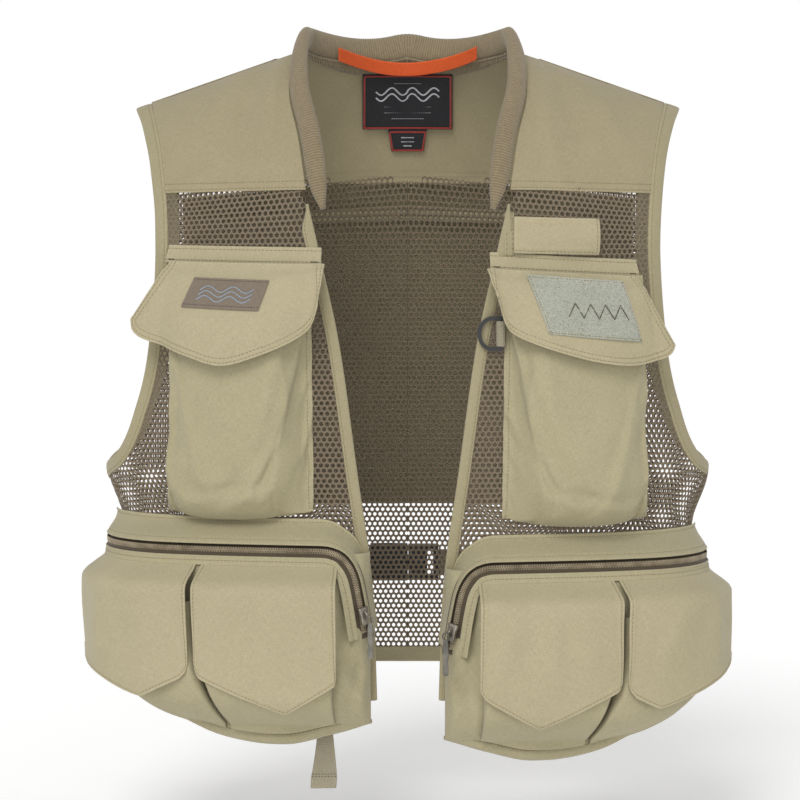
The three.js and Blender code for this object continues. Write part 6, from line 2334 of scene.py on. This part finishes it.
grid = back_pocket_grid()
grid = billow(grid, border_pins(*grid.shape[:2]), pressure=1.5, grow=0.02, cap=4.0)
piece = shell("pocket_back", grid, 0.9, TAN)
sew_edges("vest_body", grid, ("u0", "v1", "u1"), (9.0, 13.0))
sew_grid("vest_body", grid, [("v", 5), ("v", 8)])
finish_piece(piece, "vest_body", "back_pocket")
u, v = np.linspace(-1, 1, 150), np.linspace(0, 1, 8)
strip = place(180 - u[:, None] * BACK_PHI, level_at(-99 - 11 * v)[None] + 0 * u[:, None], 1.9)
piece = shell("pocket_back_seam", strip, 0.8, TAPE_TAN)
finish_piece(piece, "vest_body")

# %% Belt
def wavy_webbing(x0, x1, y_at, z, width, rows=90):
    """A flat strip along x at a height z; y_at gives its depth, and a slow wave bends it."""
    s, w = np.linspace(0, 1, rows), np.linspace(-0.5, 0.5, 14)
    x = mix(x0, x1, s)
    ripple = 0.5 * np.sin(s * 9)
    y = np.array([y_at(value) for value in x]) + ripple * np.sin(math.pi * s)
    return np.stack(np.broadcast_arrays(x[:, None], y[:, None], z - w[None] * width), -1)


BELT_Z, WEB = -399, 20
BUCKLE_Y = float(on_form(180, BELT_Z - SPRING_Z)[1]) + 0.6 + 2.4 + 4.5


def sewn_depth(x):
    """Close to the net at the sewn end, out to the buckle's socket at the other."""
    surface = float(on_form(180 - float(phi_at(abs(x), BELT_Z)), BELT_Z - SPRING_Z)[1])
    share = min(max((x + 170) / 69, 0.0), 1.0)
    return mix(surface + 2.6, surface + 6.2, share)


grid = wavy_webbing(-170, -31.7, sewn_depth, BELT_Z, WEB)
piece = shell("belt_sewn_webbing", grid, 1.5, WEBBING)
sew_grid("vest_body", grid, [("u", 3), ("u", 9)])
finish_piece(piece, "vest_body", "belt_sewn", slot="webbing")
grid = wavy_webbing(26.6, 128, lambda x: BUCKLE_Y + 0.8, BELT_Z, WEB)
piece = shell("belt_sliding_webbing", grid, 1.5, WEBBING)
finish_piece(piece, "buckle_male", "belt_sliding", slot="webbing")
for node in ("buckle_female", "buckle_male", "buckle_prong_upper", "buckle_prong_lower",
             "belt_keeper"):
    NODES[node].data.materials.clear()
    NODES[node].data.materials.append(PLASTIC)

# %% Strap tail
def tail_grid():
    """A tape that widens downward, leans a little and turns as it falls; its end is folded."""
    s, w = np.linspace(0, 1, 70), np.linspace(-0.5, 0.5, 16)
    width = mix(8.5, 19.5, clamp01(s * 1.15) ** 1.5)
    middle = -66 + 1.5 * np.sin(s * 2.4) - 2.0 * s
    x = middle[:, None] + w[None] * width[:, None]
    z = -483.5 - 69 * s[:, None] + 0.6 * w[None]
    phi = phi_at(np.abs(x), -483)
    turn = (1 - s[:, None]) * w[None] * 2.4
    fold = 0.9 * smooth_step((s[:, None] - 0.8) / 0.02)
    return place(-phi, z - SPRING_Z, 0.4 + turn + fold)


grid = tail_grid()
piece = shell("tail_strap", grid, 1.6, WEBBING)
sew_grid("strap_tail", grid, [("u", 58), ("u", 60)], thread="dark", pitch=2.0, length=1.6)
finish_piece(piece, "strap_tail", "strap_tail", slot="webbing")
declare_sheet(piece, grid)
print("back pocket, belt and strap made")

# %% All the stitches, one piece for each body and thread
THREADS = {"tan": THREAD, "dark": DARK_THREAD, "blue": LABEL_BLUE, "silver": LABEL_SILVER,
           "red": MERROW_RED}
for (body, thread), rows in stitch_rows.items():
    points, quads, triangles = join_parts(rows)
    piece = make_object(f"stitches_{thread}_{body}", points, quads, triangles, uv=points[:, :2],
                        rim=FAR_FROM_RIM, material=THREADS[thread])
    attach(piece, body)
print("stitches", sum(len(p[0]) for rows in stitch_rows.values() for p in rows) // 10)
